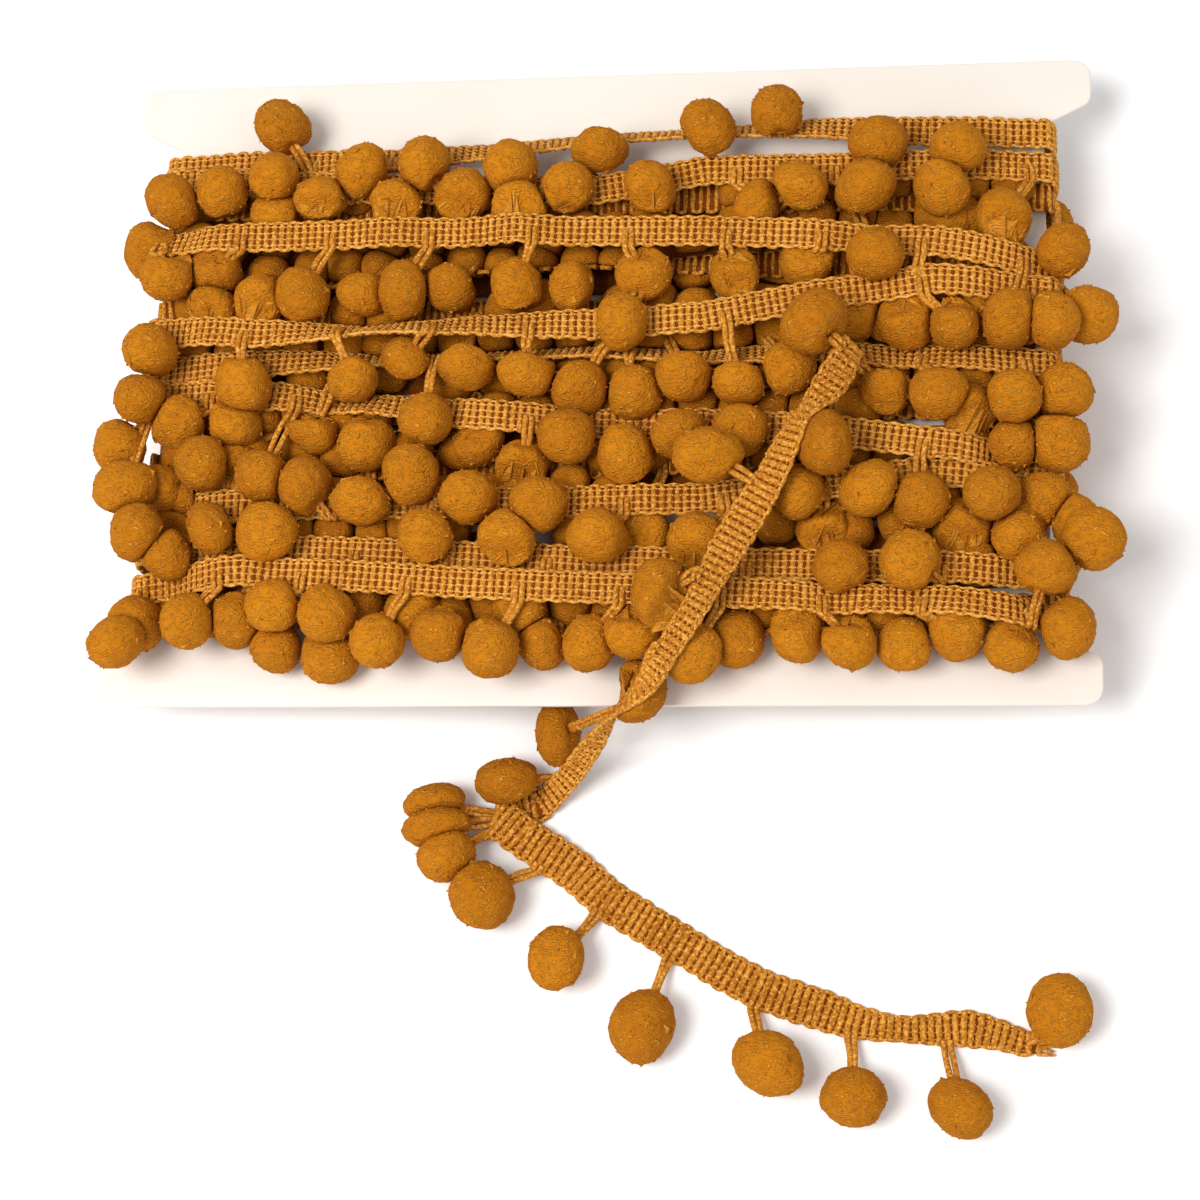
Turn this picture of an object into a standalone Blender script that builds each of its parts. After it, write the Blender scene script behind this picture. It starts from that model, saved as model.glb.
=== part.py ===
"""Pompom fringe trim wound on a flat card, with a loose end. Metres, +Z up."""
import math
import random

import bmesh
import bpy
import numpy
from mathutils import Matrix, Vector

# Driving dimensions
MM = 0.001
CARD_WIDTH = 200.0 * MM
CARD_HEIGHT = 135.8 * MM
CARD_THICKNESS = 1.3 * MM
CARD_BASE = 15.0 * MM            # height of the card's underside above the table
WAIST_WIDTH = 181.0 * MM         # the card is cut in at its sides, to hold the winding
WAIST_HEIGHT = 107.0 * MM
EAR_HEIGHT = 9.5 * MM            # straight outer side of each of the four corner ears
EAR_RADIUS = 3.5 * MM            # rounding of an ear's outer corner
SHOULDER_RADIUS = 3.0 * MM       # rounding of its inner corner
WAIST_RADIUS = 2.0 * MM          # rounding at the waist
ARC_STEPS = 4                    # straight pieces in each rounded corner
TAPE_WIDTH = 7.5 * MM            # the tape pulled taut round the card
TAPE_THICKNESS = 1.5 * MM
BALL_RADIUS = 5.8 * MM           # a pompom pressed in the winding
BALL_SPREAD = 0.35 * MM
FACET_GROWTH = 1.06              # a faceted ball is drawn larger, for the volume of a round one
PITCH = 19.5 * MM                # between two pompoms along the tape
STRAND_WIDTH = 1.8 * MM          # the pair of threads that a pompom hangs by
LOOSE_WIDTH = 9.4 * MM           # the tape of the loose end, relaxed
LOOSE_THICKNESS = 1.4 * MM
GAP = 0.35 * MM                  # clearance between neighbouring pieces
CLOCK_REACH = 1.5 * MM           # length of one step of a pompom's reach
SEED = 11

CARD_TOP = CARD_BASE + CARD_THICKNESS

# Front of the winding, one row for each turn, from the top edge down (millimetres).
# y:      the tape's height on the card at five even stations, left edge to right edge
# level:  the tape's height above the card's face
# first:  the first pompom's distance from the left edge
# clock:  where each pompom lies, as an hour on a clock face (A = 10, B = 11, 0 = 12)
# reach:  how far it lies from the tape's lower edge, in steps of CLOCK_REACH
TURN_COLUMNS = ("y", "level", "first", "clock", "reach")
TURNS = (
    ((48.6, 48.7, 52.3, 53.0, 51.6), 5.2, 11.0, "5-9543067", "4-5324323"),
    ((45.0, 41.1, 39.6, 43.0, 43.3), 8.0, 2.0, "619B845457", "2256325537"),
    ((38.8, 36.1, 36.7, 36.5, 36.1), 4.0, 7.0, "8A2B0-2566", "82334-7727"),
    ((27.9, 27.6, 27.0, 25.1, 19.9), 13.0, 0.5, "5987755966", "2576443287"),
    ((13.7, 19.4, 21.3, 21.0, 20.2), 5.0, 7.0, "29A947-645", "431317-557"),
    ((15.0, 14.0, 13.0, 11.0, 8.0), 3.0, 7.0, "8--6-55--6", "6--6-88--8"),
    ((8.8, 6.5, 7.2, 12.2, 14.0), 13.0, 0.5, "6658685-44", "7433386-55"),
    ((1.4, 2.4, 3.0, 2.3, 0.0), 8.5, 1.0, "-676-5-457", "-687-3-844"),
    ((-4.2, -7.3, -11.5, -14.3, -20.3), 9.5, 0.5, "79-765-766", "68-742-769"),
    ((-8.0, -7.0, -6.0, -7.0, -8.0), 3.0, 7.0, "5765557-36", "7834443-24"),
    ((-18.0, -18.5, -19.0, -16.5, -14.0), 3.0, 0.5, "76657--556", "38445--588"),
    ((-28.4, -28.0, -28.2, -25.4, -25.1), 8.5, 0.5, "68B6777644", "1363344488"),
    ((-35.8, -37.9, -40.1, -41.2, -42.6), 8.0, 5.0, "26777660A-", "187767825-"),
    ((-44.6, -44.1, -46.8, -48.8, -50.4), 12.0, 0.5, "789777744-", "667876655-"),
    ((-48.0, -50.0, -50.4, -50.2, -49.4), 3.0, 7.0, "A489833331", "4352136673"),
)

# Loose end, a row for each section of its route (millimetres, then degrees).
# x, y from the card's centre, z above the table, roll of the tape about its length,
# and its width there, less where it is drawn tight or leans
LOOSE_ROUTE = (
    (52.7, -1.0, 36.0, 130.0, 7.0),
    (48.6, -8.8, 37.0, 172.0, 7.4),
    (43.6, -14.9, 37.0, 228.0, 6.4),
    (40.4, -20.3, 36.7, 212.0, 7.0),
    (37.2, -27.3, 36.4, 195.0, 7.2),
    (33.4, -33.8, 36.0, 182.0, 7.8),
    (29.7, -40.3, 36.0, 178.0, 8.0),
    (26.2, -47.0, 36.0, 170.0, 6.4),
    (22.4, -54.1, 35.5, 166.0, 5.6),
    (17.8, -60.7, 33.5, 175.0, 5.4),
    (13.1, -66.5, 29.0, 192.0, 5.6),
    (6.2, -70.5, 21.5, 250.0, 5.6),
    (1.1, -75.3, 14.5, 318.0, 5.0),
    (-3.0, -78.8, 8.5, 340.0, 5.2),
    (-7.0, -81.9, 3.8, 353.0, 5.8),
    (-11.2, -84.7, 0.7, 360.0, 7.4),
)
# The flat fold on the table: the way the tape comes in and goes out, a place on its crease
FOLD_HEADINGS = ((-0.982, -0.188), (0.78, -0.63))
FOLD_CREASE = (-18.5, -86.1)
FOLD_BEND_RADIUS = 1.05
FOLD_LENGTH = 17.0
FOLD_STEPS = 14
FOLD_WIDENING = 3                # the tape is full width after one part in this many
TABLE_ROUTE = (
    (-3.6, -98.0, 1.5, 180.0, 9.4),
    (3.9, -104.0, 0.7, 180.0, 9.2),
    (18.4, -112.6, 0.7, 180.0, 8.8),
    (32.3, -120.3, 0.7, 180.0, 9.0),
    (45.4, -124.8, 0.7, 180.0, 8.8),
    (53.1, -127.2, 0.7, 180.0, 7.2),
    (60.8, -128.3, 0.7, 180.0, 5.6),
    (67.5, -128.3, 0.7, 180.0, 6.8),
    (73.8, -128.1, 0.7, 180.0, 8.0),
    (79.9, -129.3, 0.7, 180.0, 6.4),
    (84.0, -130.6, 0.7, 180.0, 5.4),
    (88.2, -130.9, 0.7, 180.0, 4.4),
)

# Pompoms of the loose end: the root along and across the tape, the pompom's centre from
# the card's centre and above the table, and its half width and height (millimetres)
LOOSE_BALL_COLUMNS = ("along", "across", "x", "y", "z", "wide", "high")
LOOSE_BALLS = (
    (2.0, 4.7, 45.4, 3.2, 38.0, 6.7, 6.9),
    (18.5, 4.7, 47.0, -20.5, 35.0, 6.3, 6.6),
    (33.5, 4.7, 25.0, -23.1, 36.8, 7.0, 5.6),
    (54.5, 4.7, 16.6, -51.1, 35.8, 5.8, 7.2),
    (71.0, 4.7, 11.2, -67.0, 25.6, 6.0, 6.4),
    (91.0, 4.7, -7.0, -71.4, 7.2, 4.4, 7.0),
    (115.0, -4.7, -16.9, -80.9, 6.1, 6.5, 4.9),
    (129.0, 0.4, -31.8, -85.1, 5.0, 6.6, 4.3),
    (129.0, 1.5, -30.7, -90.4, 6.2, 7.1, 4.5),
    (129.0, 3.6, -28.3, -95.9, 7.0, 6.3, 6.0),
    (143.5, 4.7, -21.1, -103.7, 6.6, 6.6, 7.4),
    (158.8, 4.7, -5.9, -116.1, 6.3, 6.1, 6.4),
    (175.4, 4.7, 11.3, -129.1, 6.3, 6.4, 8.0),
    (194.2, 4.7, 35.6, -135.9, 6.3, 7.3, 6.7),
    (213.3, 4.7, 51.9, -141.7, 6.0, 6.4, 5.7),
    (230.8, 4.7, 72.3, -143.6, 6.2, 6.6, 6.1),
    (247.5, -1.0, 91.2, -125.2, 6.4, 6.4, 7.0),
)

# How the wound pompoms settle against each other and the tapes
BALL_REST = 6.0 * MM             # height above the card of a pompom of a turn at level 0
LEVEL_SHARE = 0.35               # how much of its tape's level a pompom is lifted by
LOWEST_BALL = CARD_TOP + 5.4 * MM
HIGHEST_BALL = CARD_TOP + 12.0 * MM
CROWDED = 8.5 * MM               # a pompom nearer than this to another one is buried
TOUCHING = 0.9                   # two pompoms meet at this share of their radii
SETTLING_STEPS = 40
PUSH_SHARE = 0.25                # of an overlap, taken up in one step
PUSH_AXES = (0.3, 0.3, 1.0)      # they move mostly up and down
TAPE_REACH = 0.4                 # share of a radius at which a tape beside a pompom counts
TAPE_SLACK = 1.0 * MM            # a pompom higher than this below a tape goes over it
REST_ON_TAPE = 0.85              # share of a radius between a tape and the pompom over it
REST_UNDER_TAPE = 0.95           # and the pompom under it
TAPE_PULL = 0.3                  # of the way to such a place, in one step
LOOSE_REACH = 0.8                # share of a radius at which the loose end presses one down

# The turns behind the front
BURIED_LEVEL = 5.0               # a turn this low is inside the mass of the winding
MASS_DEPTH = 6.2 * MM            # buried turns and pompoms on either face of the card
MASS_OVERHANG = 4.4 * MM         # the mass is wider than the waist by this in all
MASS_SHORT = 4.0 * MM            # and shorter than it by this
MASS_BEVEL = 2.0 * MM
BACK_DEPTH = 2.5 * MM            # first of the tape's layers behind the card
BACK_STEP = 2.2 * MM             # from each layer to the next
BACK_LAYERS = 3
EDGE_BULGE = 1.2 * MM            # how far a turn at level 0 stands out round the waist
EDGE_GROWTH = 0.12               # and how much further for each step of level
EDGE_SHOULDER = 0.7              # where the turn over the edge starts, from back to front
BACK_TURNS = 11
BACK_BALLS = 6
BACK_SPACING = 1.5 * PITCH
BACK_STARTS = (0.3 * PITCH, 0.8 * PITCH)
BACK_LEAN = 0.5                  # radians either way
BACK_REACH = 9.5 * MM
BACK_BALL_Z = 4.8 * MM
ANCHOR_DEPTH = 3.0 * MM          # an outer pompom's strand starts this deep in the mass
ANCHOR_INSET = 0.97              # and at this share of its half width and height
ROOT_INSET = 0.8                 # a loose pompom's strand starts at this share of its place
LOWEST_ROOT = 0.6 * STRAND_WIDTH
TABLE_REACH = 0.3                # a loose pompom with its underside this low is on the table


def material(name, colour, roughness):
    """A plain Principled material."""
    result = bpy.data.materials.new(name)
    result.use_nodes = True
    shader = result.node_tree.nodes["Principled BSDF"]
    shader.inputs["Base Color"].default_value = (*colour, 1.0)
    shader.inputs["Roughness"].default_value = roughness
    shader.inputs["Metallic"].default_value = 0.0
    return result


def add_object(name, bm, collection, surface=None):
    """Turn a bmesh into a named object of a collection."""
    mesh = bpy.data.meshes.new(name)
    bm.to_mesh(mesh)
    bm.free()
    if surface:
        mesh.materials.append(surface)
    result = bpy.data.objects.new(name, mesh)
    collection.objects.link(result)
    return result


def as_cutter(result):
    """Mark a helper body, which is joined or cut but is no piece of its own."""
    result.hide_render = True
    result.display_type = "WIRE"
    return result


def add_boolean(target, operand, operation, solver="EXACT"):
    """Join or cut a piece with a helper body."""
    modifier = target.modifiers.new(operand.name, "BOOLEAN")
    modifier.operation = operation
    modifier.object = operand
    modifier.solver = solver
    if solver == "EXACT":
        modifier.use_self = True


def rounded(corners, steps):
    """Outline through corners of (x, y, radius), each corner an arc."""
    points = []
    for index, (x, y, radius) in enumerate(corners):
        here = Vector((x, y))
        before = Vector(corners[index - 1][:2]) - here
        after = Vector(corners[(index + 1) % len(corners)][:2]) - here
        half_angle = before.angle(after) / 2
        setback = radius / math.tan(half_angle)
        start = here + before.normalized() * setback
        end = here + after.normalized() * setback
        middle = (before.normalized() + after.normalized()).normalized()
        centre = here + middle * radius / math.sin(half_angle)
        sweep = (start - centre).angle_signed(end - centre)
        for step in range(steps + 1):
            turn = Matrix.Rotation(-sweep * step / steps, 2)
            points.append(centre + turn @ (start - centre))
    return points


def card_outline(grow):
    """The card seen from above: four rounded ears and a waist, grown by a clearance."""
    ear_x = CARD_WIDTH / 2 + grow
    ear_y = CARD_HEIGHT / 2 + grow
    shoulder_y = CARD_HEIGHT / 2 - EAR_HEIGHT - grow
    waist_x = WAIST_WIDTH / 2 + grow
    waist_y = WAIST_HEIGHT / 2 - grow
    quarter = (
        (waist_x, waist_y, WAIST_RADIUS),
        (ear_x, shoulder_y, SHOULDER_RADIUS),
        (ear_x, ear_y, EAR_RADIUS),
    )
    corners = list(quarter)
    corners += [(-x, y, r) for x, y, r in reversed(quarter)]
    corners += [(-x, -y, r) for x, y, r in quarter]
    corners += [(x, -y, r) for x, y, r in reversed(quarter)]
    return rounded(corners, ARC_STEPS)


def card_body(name, collection, grow, surface=None):
    """The card, or with a clearance the slot that it lies in."""
    bm = bmesh.new()
    base = CARD_BASE - grow
    ring = [bm.verts.new((p.x, p.y, base)) for p in card_outline(grow)]
    face = bm.faces.new(ring)
    walls = bmesh.ops.extrude_face_region(bm, geom=[face])
    raised = [item for item in walls["geom"] if isinstance(item, bmesh.types.BMVert)]
    bmesh.ops.translate(bm, verts=raised, vec=(0, 0, CARD_THICKNESS + 2 * grow))
    bmesh.ops.recalc_face_normals(bm, faces=bm.faces)
    return add_object(name, bm, collection, surface)


def turn_y(turn, x):
    """Height of a turn's tape on the card at x."""
    stations = numpy.linspace(-WAIST_WIDTH / 2, WAIST_WIDTH / 2, len(turn["y"]))
    return float(numpy.interp(x, stations, turn["y"])) * MM


def front_balls(turns):
    """Centres of the pompoms on the front, at their pitch along each turn."""
    centres = []
    for turn in turns:
        x = -WAIST_WIDTH / 2 + turn["first"] * MM
        height = CARD_TOP + BALL_REST + LEVEL_SHARE * turn["level"] * MM
        for hour, reach in zip(turn["clock"], turn["reach"]):
            if hour != "-":
                angle = math.radians(30 * int(hour, 16))
                length = int(reach) * CLOCK_REACH
                y = turn_y(turn, x) - TAPE_WIDTH / 2
                centre = Vector((x + length * math.sin(angle), y + length * math.cos(angle)))
                if all((centre - Vector(other[:2])).length > CROWDED for other in centres):
                    centres.append((*centre, height))
            x += PITCH
    return numpy.array(centres)


def settle(centres, radii, turns):
    """Push crowded pompoms apart, mostly up and down, and clear of the tapes."""
    centres = centres.copy()
    route = smooth(LOOSE_ROUTE, 6)[:, :3] * MM
    pressed = numpy.full(len(centres), HIGHEST_BALL)
    for i, centre in enumerate(centres):
        across = numpy.linalg.norm(route[:, :2] - centre[:2], axis=1)
        nearest = across.argmin()
        if across[nearest] < LOOSE_WIDTH / 2 + LOOSE_REACH * radii[i]:
            under = route[nearest][2] - radii[i] - LOOSE_THICKNESS
            pressed[i] = max(LOWEST_BALL, min(HIGHEST_BALL, under))
    for _ in range(SETTLING_STEPS):
        push = numpy.zeros_like(centres)
        for i, centre in enumerate(centres):
            away = centre - centres
            distance = numpy.linalg.norm(away, axis=1)
            wanted = TOUCHING * (radii + radii[i])
            near = (distance < wanted) & (distance > 0)
            lift = (wanted[near] - distance[near]) / distance[near]
            push[i] = (away[near] * lift[:, None]).sum(axis=0) * PUSH_SHARE
        centres += push * PUSH_AXES
        for turn in turns:
            tape_z = CARD_TOP + turn["level"] * MM
            for i, (x, y, z) in enumerate(centres):
                inside = abs(y - turn_y(turn, x)) < TAPE_WIDTH / 2 + TAPE_REACH * radii[i]
                if not inside or abs(x) > WAIST_WIDTH / 2:
                    continue
                if z > tape_z - TAPE_SLACK:
                    target = max(z, tape_z + REST_ON_TAPE * radii[i])
                else:
                    target = min(z, tape_z - REST_UNDER_TAPE * radii[i])
                centres[i][2] += TAPE_PULL * (target - z)
        centres[:, 2] = numpy.clip(centres[:, 2], LOWEST_BALL, pressed)
    return centres


def back_balls(turns, rng):
    """Centres of the pompoms on the back, which the winding stands on."""
    centres = []
    for index in range(BACK_TURNS):
        turn = turns[index * (len(turns) - 1) // (BACK_TURNS - 1)]
        x = -WAIST_WIDTH / 2 + BACK_STARTS[index % 2]
        for _ in range(BACK_BALLS):
            lean = rng.uniform(-BACK_LEAN, BACK_LEAN)
            centres.append((x + BACK_REACH * math.sin(lean),
                            turn_y(turn, x) - BACK_REACH * math.cos(lean), BACK_BALL_Z))
            x += BACK_SPACING
    return numpy.array(centres)


def random_turn(rng):
    """A random rotation about a leaning axis."""
    axis = Vector((rng.random(), rng.random(), 1.0))
    return Matrix.Rotation(rng.uniform(0, 3), 3, axis)


def add_ball(bm, centre, size, rng, on_table):
    """A pompom as a plain ball of twenty faces, stretched to its half sizes. One that is
    on the table stands on a face."""
    made = bmesh.ops.create_icosphere(bm, subdivisions=1, radius=FACET_GROWTH)["verts"]
    if on_table:
        below = min(made[0].link_faces, key=lambda face: face.calc_center_median().z)
        below.normal_update()
        spin = below.normal.rotation_difference(Vector((0, 0, -1))).to_matrix()
        spin = Matrix.Rotation(rng.uniform(0, 3), 3, "Z") @ spin
    else:
        spin = random_turn(rng)
    bmesh.ops.rotate(bm, verts=made, matrix=spin)
    bmesh.ops.scale(bm, verts=made, vec=size)
    centre = Vector(centre)
    if on_table:
        centre.z = -min(vert.co.z for vert in made)
    bmesh.ops.translate(bm, verts=made, vec=centre)


def add_strand(bm, start, end, width):
    """A straight four-sided strand between two points."""
    start = Vector(start)
    along = Vector(end) - start
    made = bmesh.ops.create_cone(bm, cap_ends=True, segments=4, radius1=width / 2,
                                 radius2=width / 2, depth=along.length)
    bmesh.ops.rotate(bm, verts=made["verts"], matrix=along.to_track_quat("Z", "X").to_matrix())
    bmesh.ops.translate(bm, verts=made["verts"], vec=start + along / 2)


def band_loop(bm, sections, closed):
    """Skin a band through sections of four corners each."""
    rings = [[bm.verts.new(corner) for corner in section] for section in sections]
    following = rings[1:] + rings[:1] if closed else rings[1:]
    for ring, after in zip(rings, following):
        for side in range(4):
            other = (side + 1) % 4
            bm.faces.new((ring[side], ring[other], after[other], after[side]))
    if not closed:
        bm.faces.new(list(reversed(rings[0])))
        bm.faces.new(rings[-1])


def turn_sections(turn, index):
    """Corner sections of one turn: over the front, round both edges and along the back."""
    half = WAIST_WIDTH / 2
    front_z = CARD_TOP + turn["level"] * MM
    back_z = CARD_BASE - BACK_DEPTH - BACK_STEP * (index % BACK_LAYERS)
    bulge = EDGE_BULGE + EDGE_GROWTH * turn["level"] * MM
    shoulder_z = EDGE_SHOULDER * front_z + (1 - EDGE_SHOULDER) * back_z
    loop = [(x, front_z) for x in numpy.linspace(-half, half, 7)]
    loop += [(half + bulge, shoulder_z), (half + bulge, CARD_BASE)]
    loop += [(x, back_z) for x in numpy.linspace(half, -half, 3)]
    loop += [(-half - bulge, CARD_BASE), (-half - bulge, shoulder_z)]
    sections = []
    for here, (x, z) in enumerate(loop):
        before = loop[here - 1]
        after = loop[(here + 1) % len(loop)]
        along = Vector((after[0] - before[0], after[1] - before[1])).normalized()
        out = Vector((-along.y, 0, along.x)) * TAPE_THICKNESS / 2
        wide = Vector((0, TAPE_WIDTH / 2, 0))
        centre = Vector((x, turn_y(turn, x), z))
        sections.append((centre + wide + out, centre - wide + out,
                         centre - wide - out, centre + wide - out))
    return sections


def smooth(rows, steps):
    """Catmull-Rom curve through the rows of a table, each row kept."""
    table = numpy.array(rows, dtype=float)
    ends = numpy.vstack((2 * table[0] - table[1], table, 2 * table[-1] - table[-2]))
    result = []
    for i in range(1, len(ends) - 2):
        a, b, c, d = ends[i - 1:i + 3]
        for step in range(steps):
            t = step / steps
            result.append(0.5 * (2 * b + (c - a) * t + (2 * a - 5 * b + 4 * c - d) * t ** 2
                                 + (3 * b - a - 3 * c + d) * t ** 3))
    result.append(table[-1])
    return numpy.array(result)


def strip_corners(centre, along, roll, width):
    """The four corners of the loose tape's section."""
    side = Vector((0, 0, 1)).cross(along).normalized()
    wide = Matrix.Rotation(roll, 3, along) @ side
    thick = along.cross(wide) * LOOSE_THICKNESS / 2
    wide = wide * width / 2
    return (centre + wide + thick, centre - wide + thick,
            centre - wide - thick, centre + wide - thick)


def route_sections(rows):
    """Sections of the loose end along rows of x, y, z, roll and width."""
    points = numpy.array(rows) * (MM, MM, MM, math.pi / 180, MM)
    sections = []
    for i, (x, y, z, roll, width) in enumerate(points):
        ahead = points[min(i + 1, len(points) - 1)][:3]
        behind = points[max(i - 1, 0)][:3]
        along = Vector(ahead - behind).normalized()
        sections.append(strip_corners(Vector((x, y, z)), along, roll, width))
    return sections


def roll_over(point, crease, outward):
    """Fold a point of the flat tape back over the crease, round a small bend."""
    bend = FOLD_BEND_RADIUS * MM
    floor = LOOSE_THICKNESS / 2
    beyond = (point - crease).dot(outward)
    if beyond <= 0:
        return point
    height = point.z - floor
    foot = point - outward * beyond
    if beyond < math.pi * bend:
        angle = beyond / bend
        reach = (bend - height) * math.sin(angle)
        raised = floor + bend - (bend - height) * math.cos(angle)
    else:
        reach = math.pi * bend - beyond
        raised = floor + 2 * bend - height
    turned = foot + outward * reach
    return Vector((turned.x, turned.y, raised))


def fold_sections(entry):
    """Sections of the flat fold on the table, where the tape turns back over itself."""
    coming, going = (Vector((*heading, 0)).normalized() for heading in FOLD_HEADINGS)
    outward = (coming - going).normalized()
    crease = Vector((FOLD_CREASE[0] * MM, FOLD_CREASE[1] * MM, 0))
    x, y, z, _, width = entry
    start = Vector((x, y, z)) * MM
    sections = []
    for step in range(FOLD_STEPS + 1):
        share = step / FOLD_STEPS
        narrow = max(0.0, 1 - FOLD_WIDENING * share)
        here = LOOSE_WIDTH + (width * MM - LOOSE_WIDTH) * narrow
        centre = start + coming * FOLD_LENGTH * MM * share
        sections.append([roll_over(corner, crease, outward)
                         for corner in strip_corners(centre, coming, 0.0, here)])
    return sections


def build_card(collection):
    """The plain card that the trim is wound on."""
    board = material("card", (0.86, 0.85, 0.83), 0.55)
    return card_body("card", collection, 0.0, board)


def build_winding(collection, cutters):
    """The wound trim: turns of tape, their pompoms and the mass of trim beneath."""
    rng = random.Random(SEED)
    turns = [dict(zip(TURN_COLUMNS, row)) for row in TURNS]
    bm = bmesh.new()
    bmesh.ops.create_cube(bm, size=1.0)
    size = Vector((WAIST_WIDTH + MASS_OVERHANG, WAIST_HEIGHT - MASS_SHORT,
                   2 * MASS_DEPTH + CARD_THICKNESS))
    bmesh.ops.scale(bm, verts=bm.verts, vec=size)
    bmesh.ops.translate(bm, verts=bm.verts, vec=(0, 0, CARD_BASE + CARD_THICKNESS / 2))
    bmesh.ops.bevel(bm, geom=bm.edges, offset=MASS_BEVEL, segments=1, affect="EDGES")
    winding = add_object("winding", bm, collection,
                         material("mustard_trim", (0.42, 0.21, 0.03), 0.95))

    bm = bmesh.new()
    for index, turn in enumerate(turns):
        if turn["level"] > BURIED_LEVEL:
            band_loop(bm, turn_sections(turn, index), closed=True)
    bmesh.ops.recalc_face_normals(bm, faces=bm.faces)
    tapes = as_cutter(add_object("tapes", bm, cutters))
    add_boolean(winding, tapes, "UNION")

    front = front_balls(turns)
    radii = numpy.array([BALL_RADIUS + rng.uniform(-1, 1) * BALL_SPREAD for _ in front])
    front = settle(front, radii, turns)
    back = back_balls(turns, rng)
    for name, centres, sizes, anchor_z in (
            ("front_pompoms", front, radii, CARD_TOP + ANCHOR_DEPTH),
            ("back_pompoms", back, [BALL_RADIUS] * len(back), CARD_BASE - ANCHOR_DEPTH)):
        bm = bmesh.new()
        for centre, radius in zip(centres, sizes):
            add_ball(bm, centre, (radius, radius, radius), rng, name == "back_pompoms")
            if abs(centre[0]) > size.x / 2 or abs(centre[1]) > size.y / 2:
                inside = numpy.array(size[:2]) / 2 * ANCHOR_INSET
                anchor = Vector((*numpy.clip(centre[:2], -inside, inside), anchor_z))
                add_strand(bm, anchor, centre, STRAND_WIDTH)
        balls = as_cutter(add_object(name, bm, cutters))
        add_boolean(winding, balls, "UNION")
    slot = as_cutter(card_body("card_slot", cutters, GAP))
    add_boolean(winding, slot, "DIFFERENCE")
    return winding


def build_loose_end(collection, cutters):
    """The loose end: off the winding, down over the card's edge and folded on the table."""
    down = smooth(LOOSE_ROUTE, 2)
    folded = fold_sections(LOOSE_ROUTE[-1])
    leave = sum(folded[-1], Vector()) / 4 / MM
    across = smooth(((*leave, 180.0, LOOSE_WIDTH / MM),) + TABLE_ROUTE, 2)
    sections = route_sections(down)[:-1] + folded + route_sections(across)[1:]
    for section in sections:
        for corner in section:
            corner.z = max(corner.z, 0.0)
    bm = bmesh.new()
    band_loop(bm, sections, closed=False)
    bmesh.ops.recalc_face_normals(bm, faces=bm.faces)
    wool = material("mustard_loose", (0.46, 0.24, 0.04), 0.95)
    tape = add_object("loose_end", bm, collection, wool)

    centres = numpy.array([sum(section, Vector()) / 4 for section in sections])
    travelled = numpy.cumsum(numpy.linalg.norm(numpy.diff(centres, axis=0), axis=1))
    travelled = numpy.insert(travelled, 0, 0.0)
    rng = random.Random(SEED + 3)
    for index, row in enumerate(LOOSE_BALLS):
        place = dict(zip(LOOSE_BALL_COLUMNS, row))
        here = int(numpy.abs(travelled - place["along"] * MM).argmin())
        edge = (sections[here][0] + sections[here][3]) / 2
        share = place["across"] * MM / (LOOSE_WIDTH / 2) * ROOT_INSET
        root = Vector(centres[here]) + (edge - Vector(centres[here])) * share
        root.z = max(root.z, LOWEST_ROOT)
        centre = Vector((place["x"], place["y"], place["z"])) * MM
        thick = (place["wide"] + place["high"]) / 2
        size = Vector((place["wide"], place["high"], thick)) * MM
        ball = bmesh.new()
        add_ball(ball, centre, size, rng, place["z"] - thick < TABLE_REACH)
        strand = bmesh.new()
        add_strand(strand, root, centre, STRAND_WIDTH)
        for name, shape in (("loose_strand", strand), ("loose_pompom", ball)):
            operand = as_cutter(add_object(f"{name}_{index + 1:02}", shape, cutters))
            add_boolean(tape, operand, "UNION", solver="MANIFOLD")
    return tape


def stand_on_floor(collection, cutters):
    """Put the origin under the middle of the whole thing's bounding box."""
    bpy.context.view_layer.update()
    graph = bpy.context.evaluated_depsgraph_get()
    corners = []
    for piece in collection.objects:
        shape = piece.evaluated_get(graph)
        corners += [piece.matrix_world @ Vector(corner) for corner in shape.bound_box]
    low = Vector(map(min, zip(*corners)))
    high = Vector(map(max, zip(*corners)))
    middle = (low + high) / 2
    for piece in list(collection.objects) + list(cutters.objects):
        piece.location -= Vector((middle.x, middle.y, low.z))


def main():
    for item in list(bpy.data.objects):
        bpy.data.objects.remove(item)
    scene = bpy.context.scene
    collection = bpy.data.collections.new("pompom_fringe_trim")
    cutters = bpy.data.collections.new("cutters")
    scene.collection.children.link(collection)
    scene.collection.children.link(cutters)
    build_card(collection)
    build_winding(collection, cutters)
    build_loose_end(collection, cutters)
    stand_on_floor(collection, cutters)


main()
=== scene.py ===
"""Pompom fringe trim wound on a white card: the finish of the card, the tape and the wool."""
import math
import random

import bmesh
import bpy
import numpy as np
from mathutils import Matrix, Vector
from numpy.linalg import norm


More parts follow.
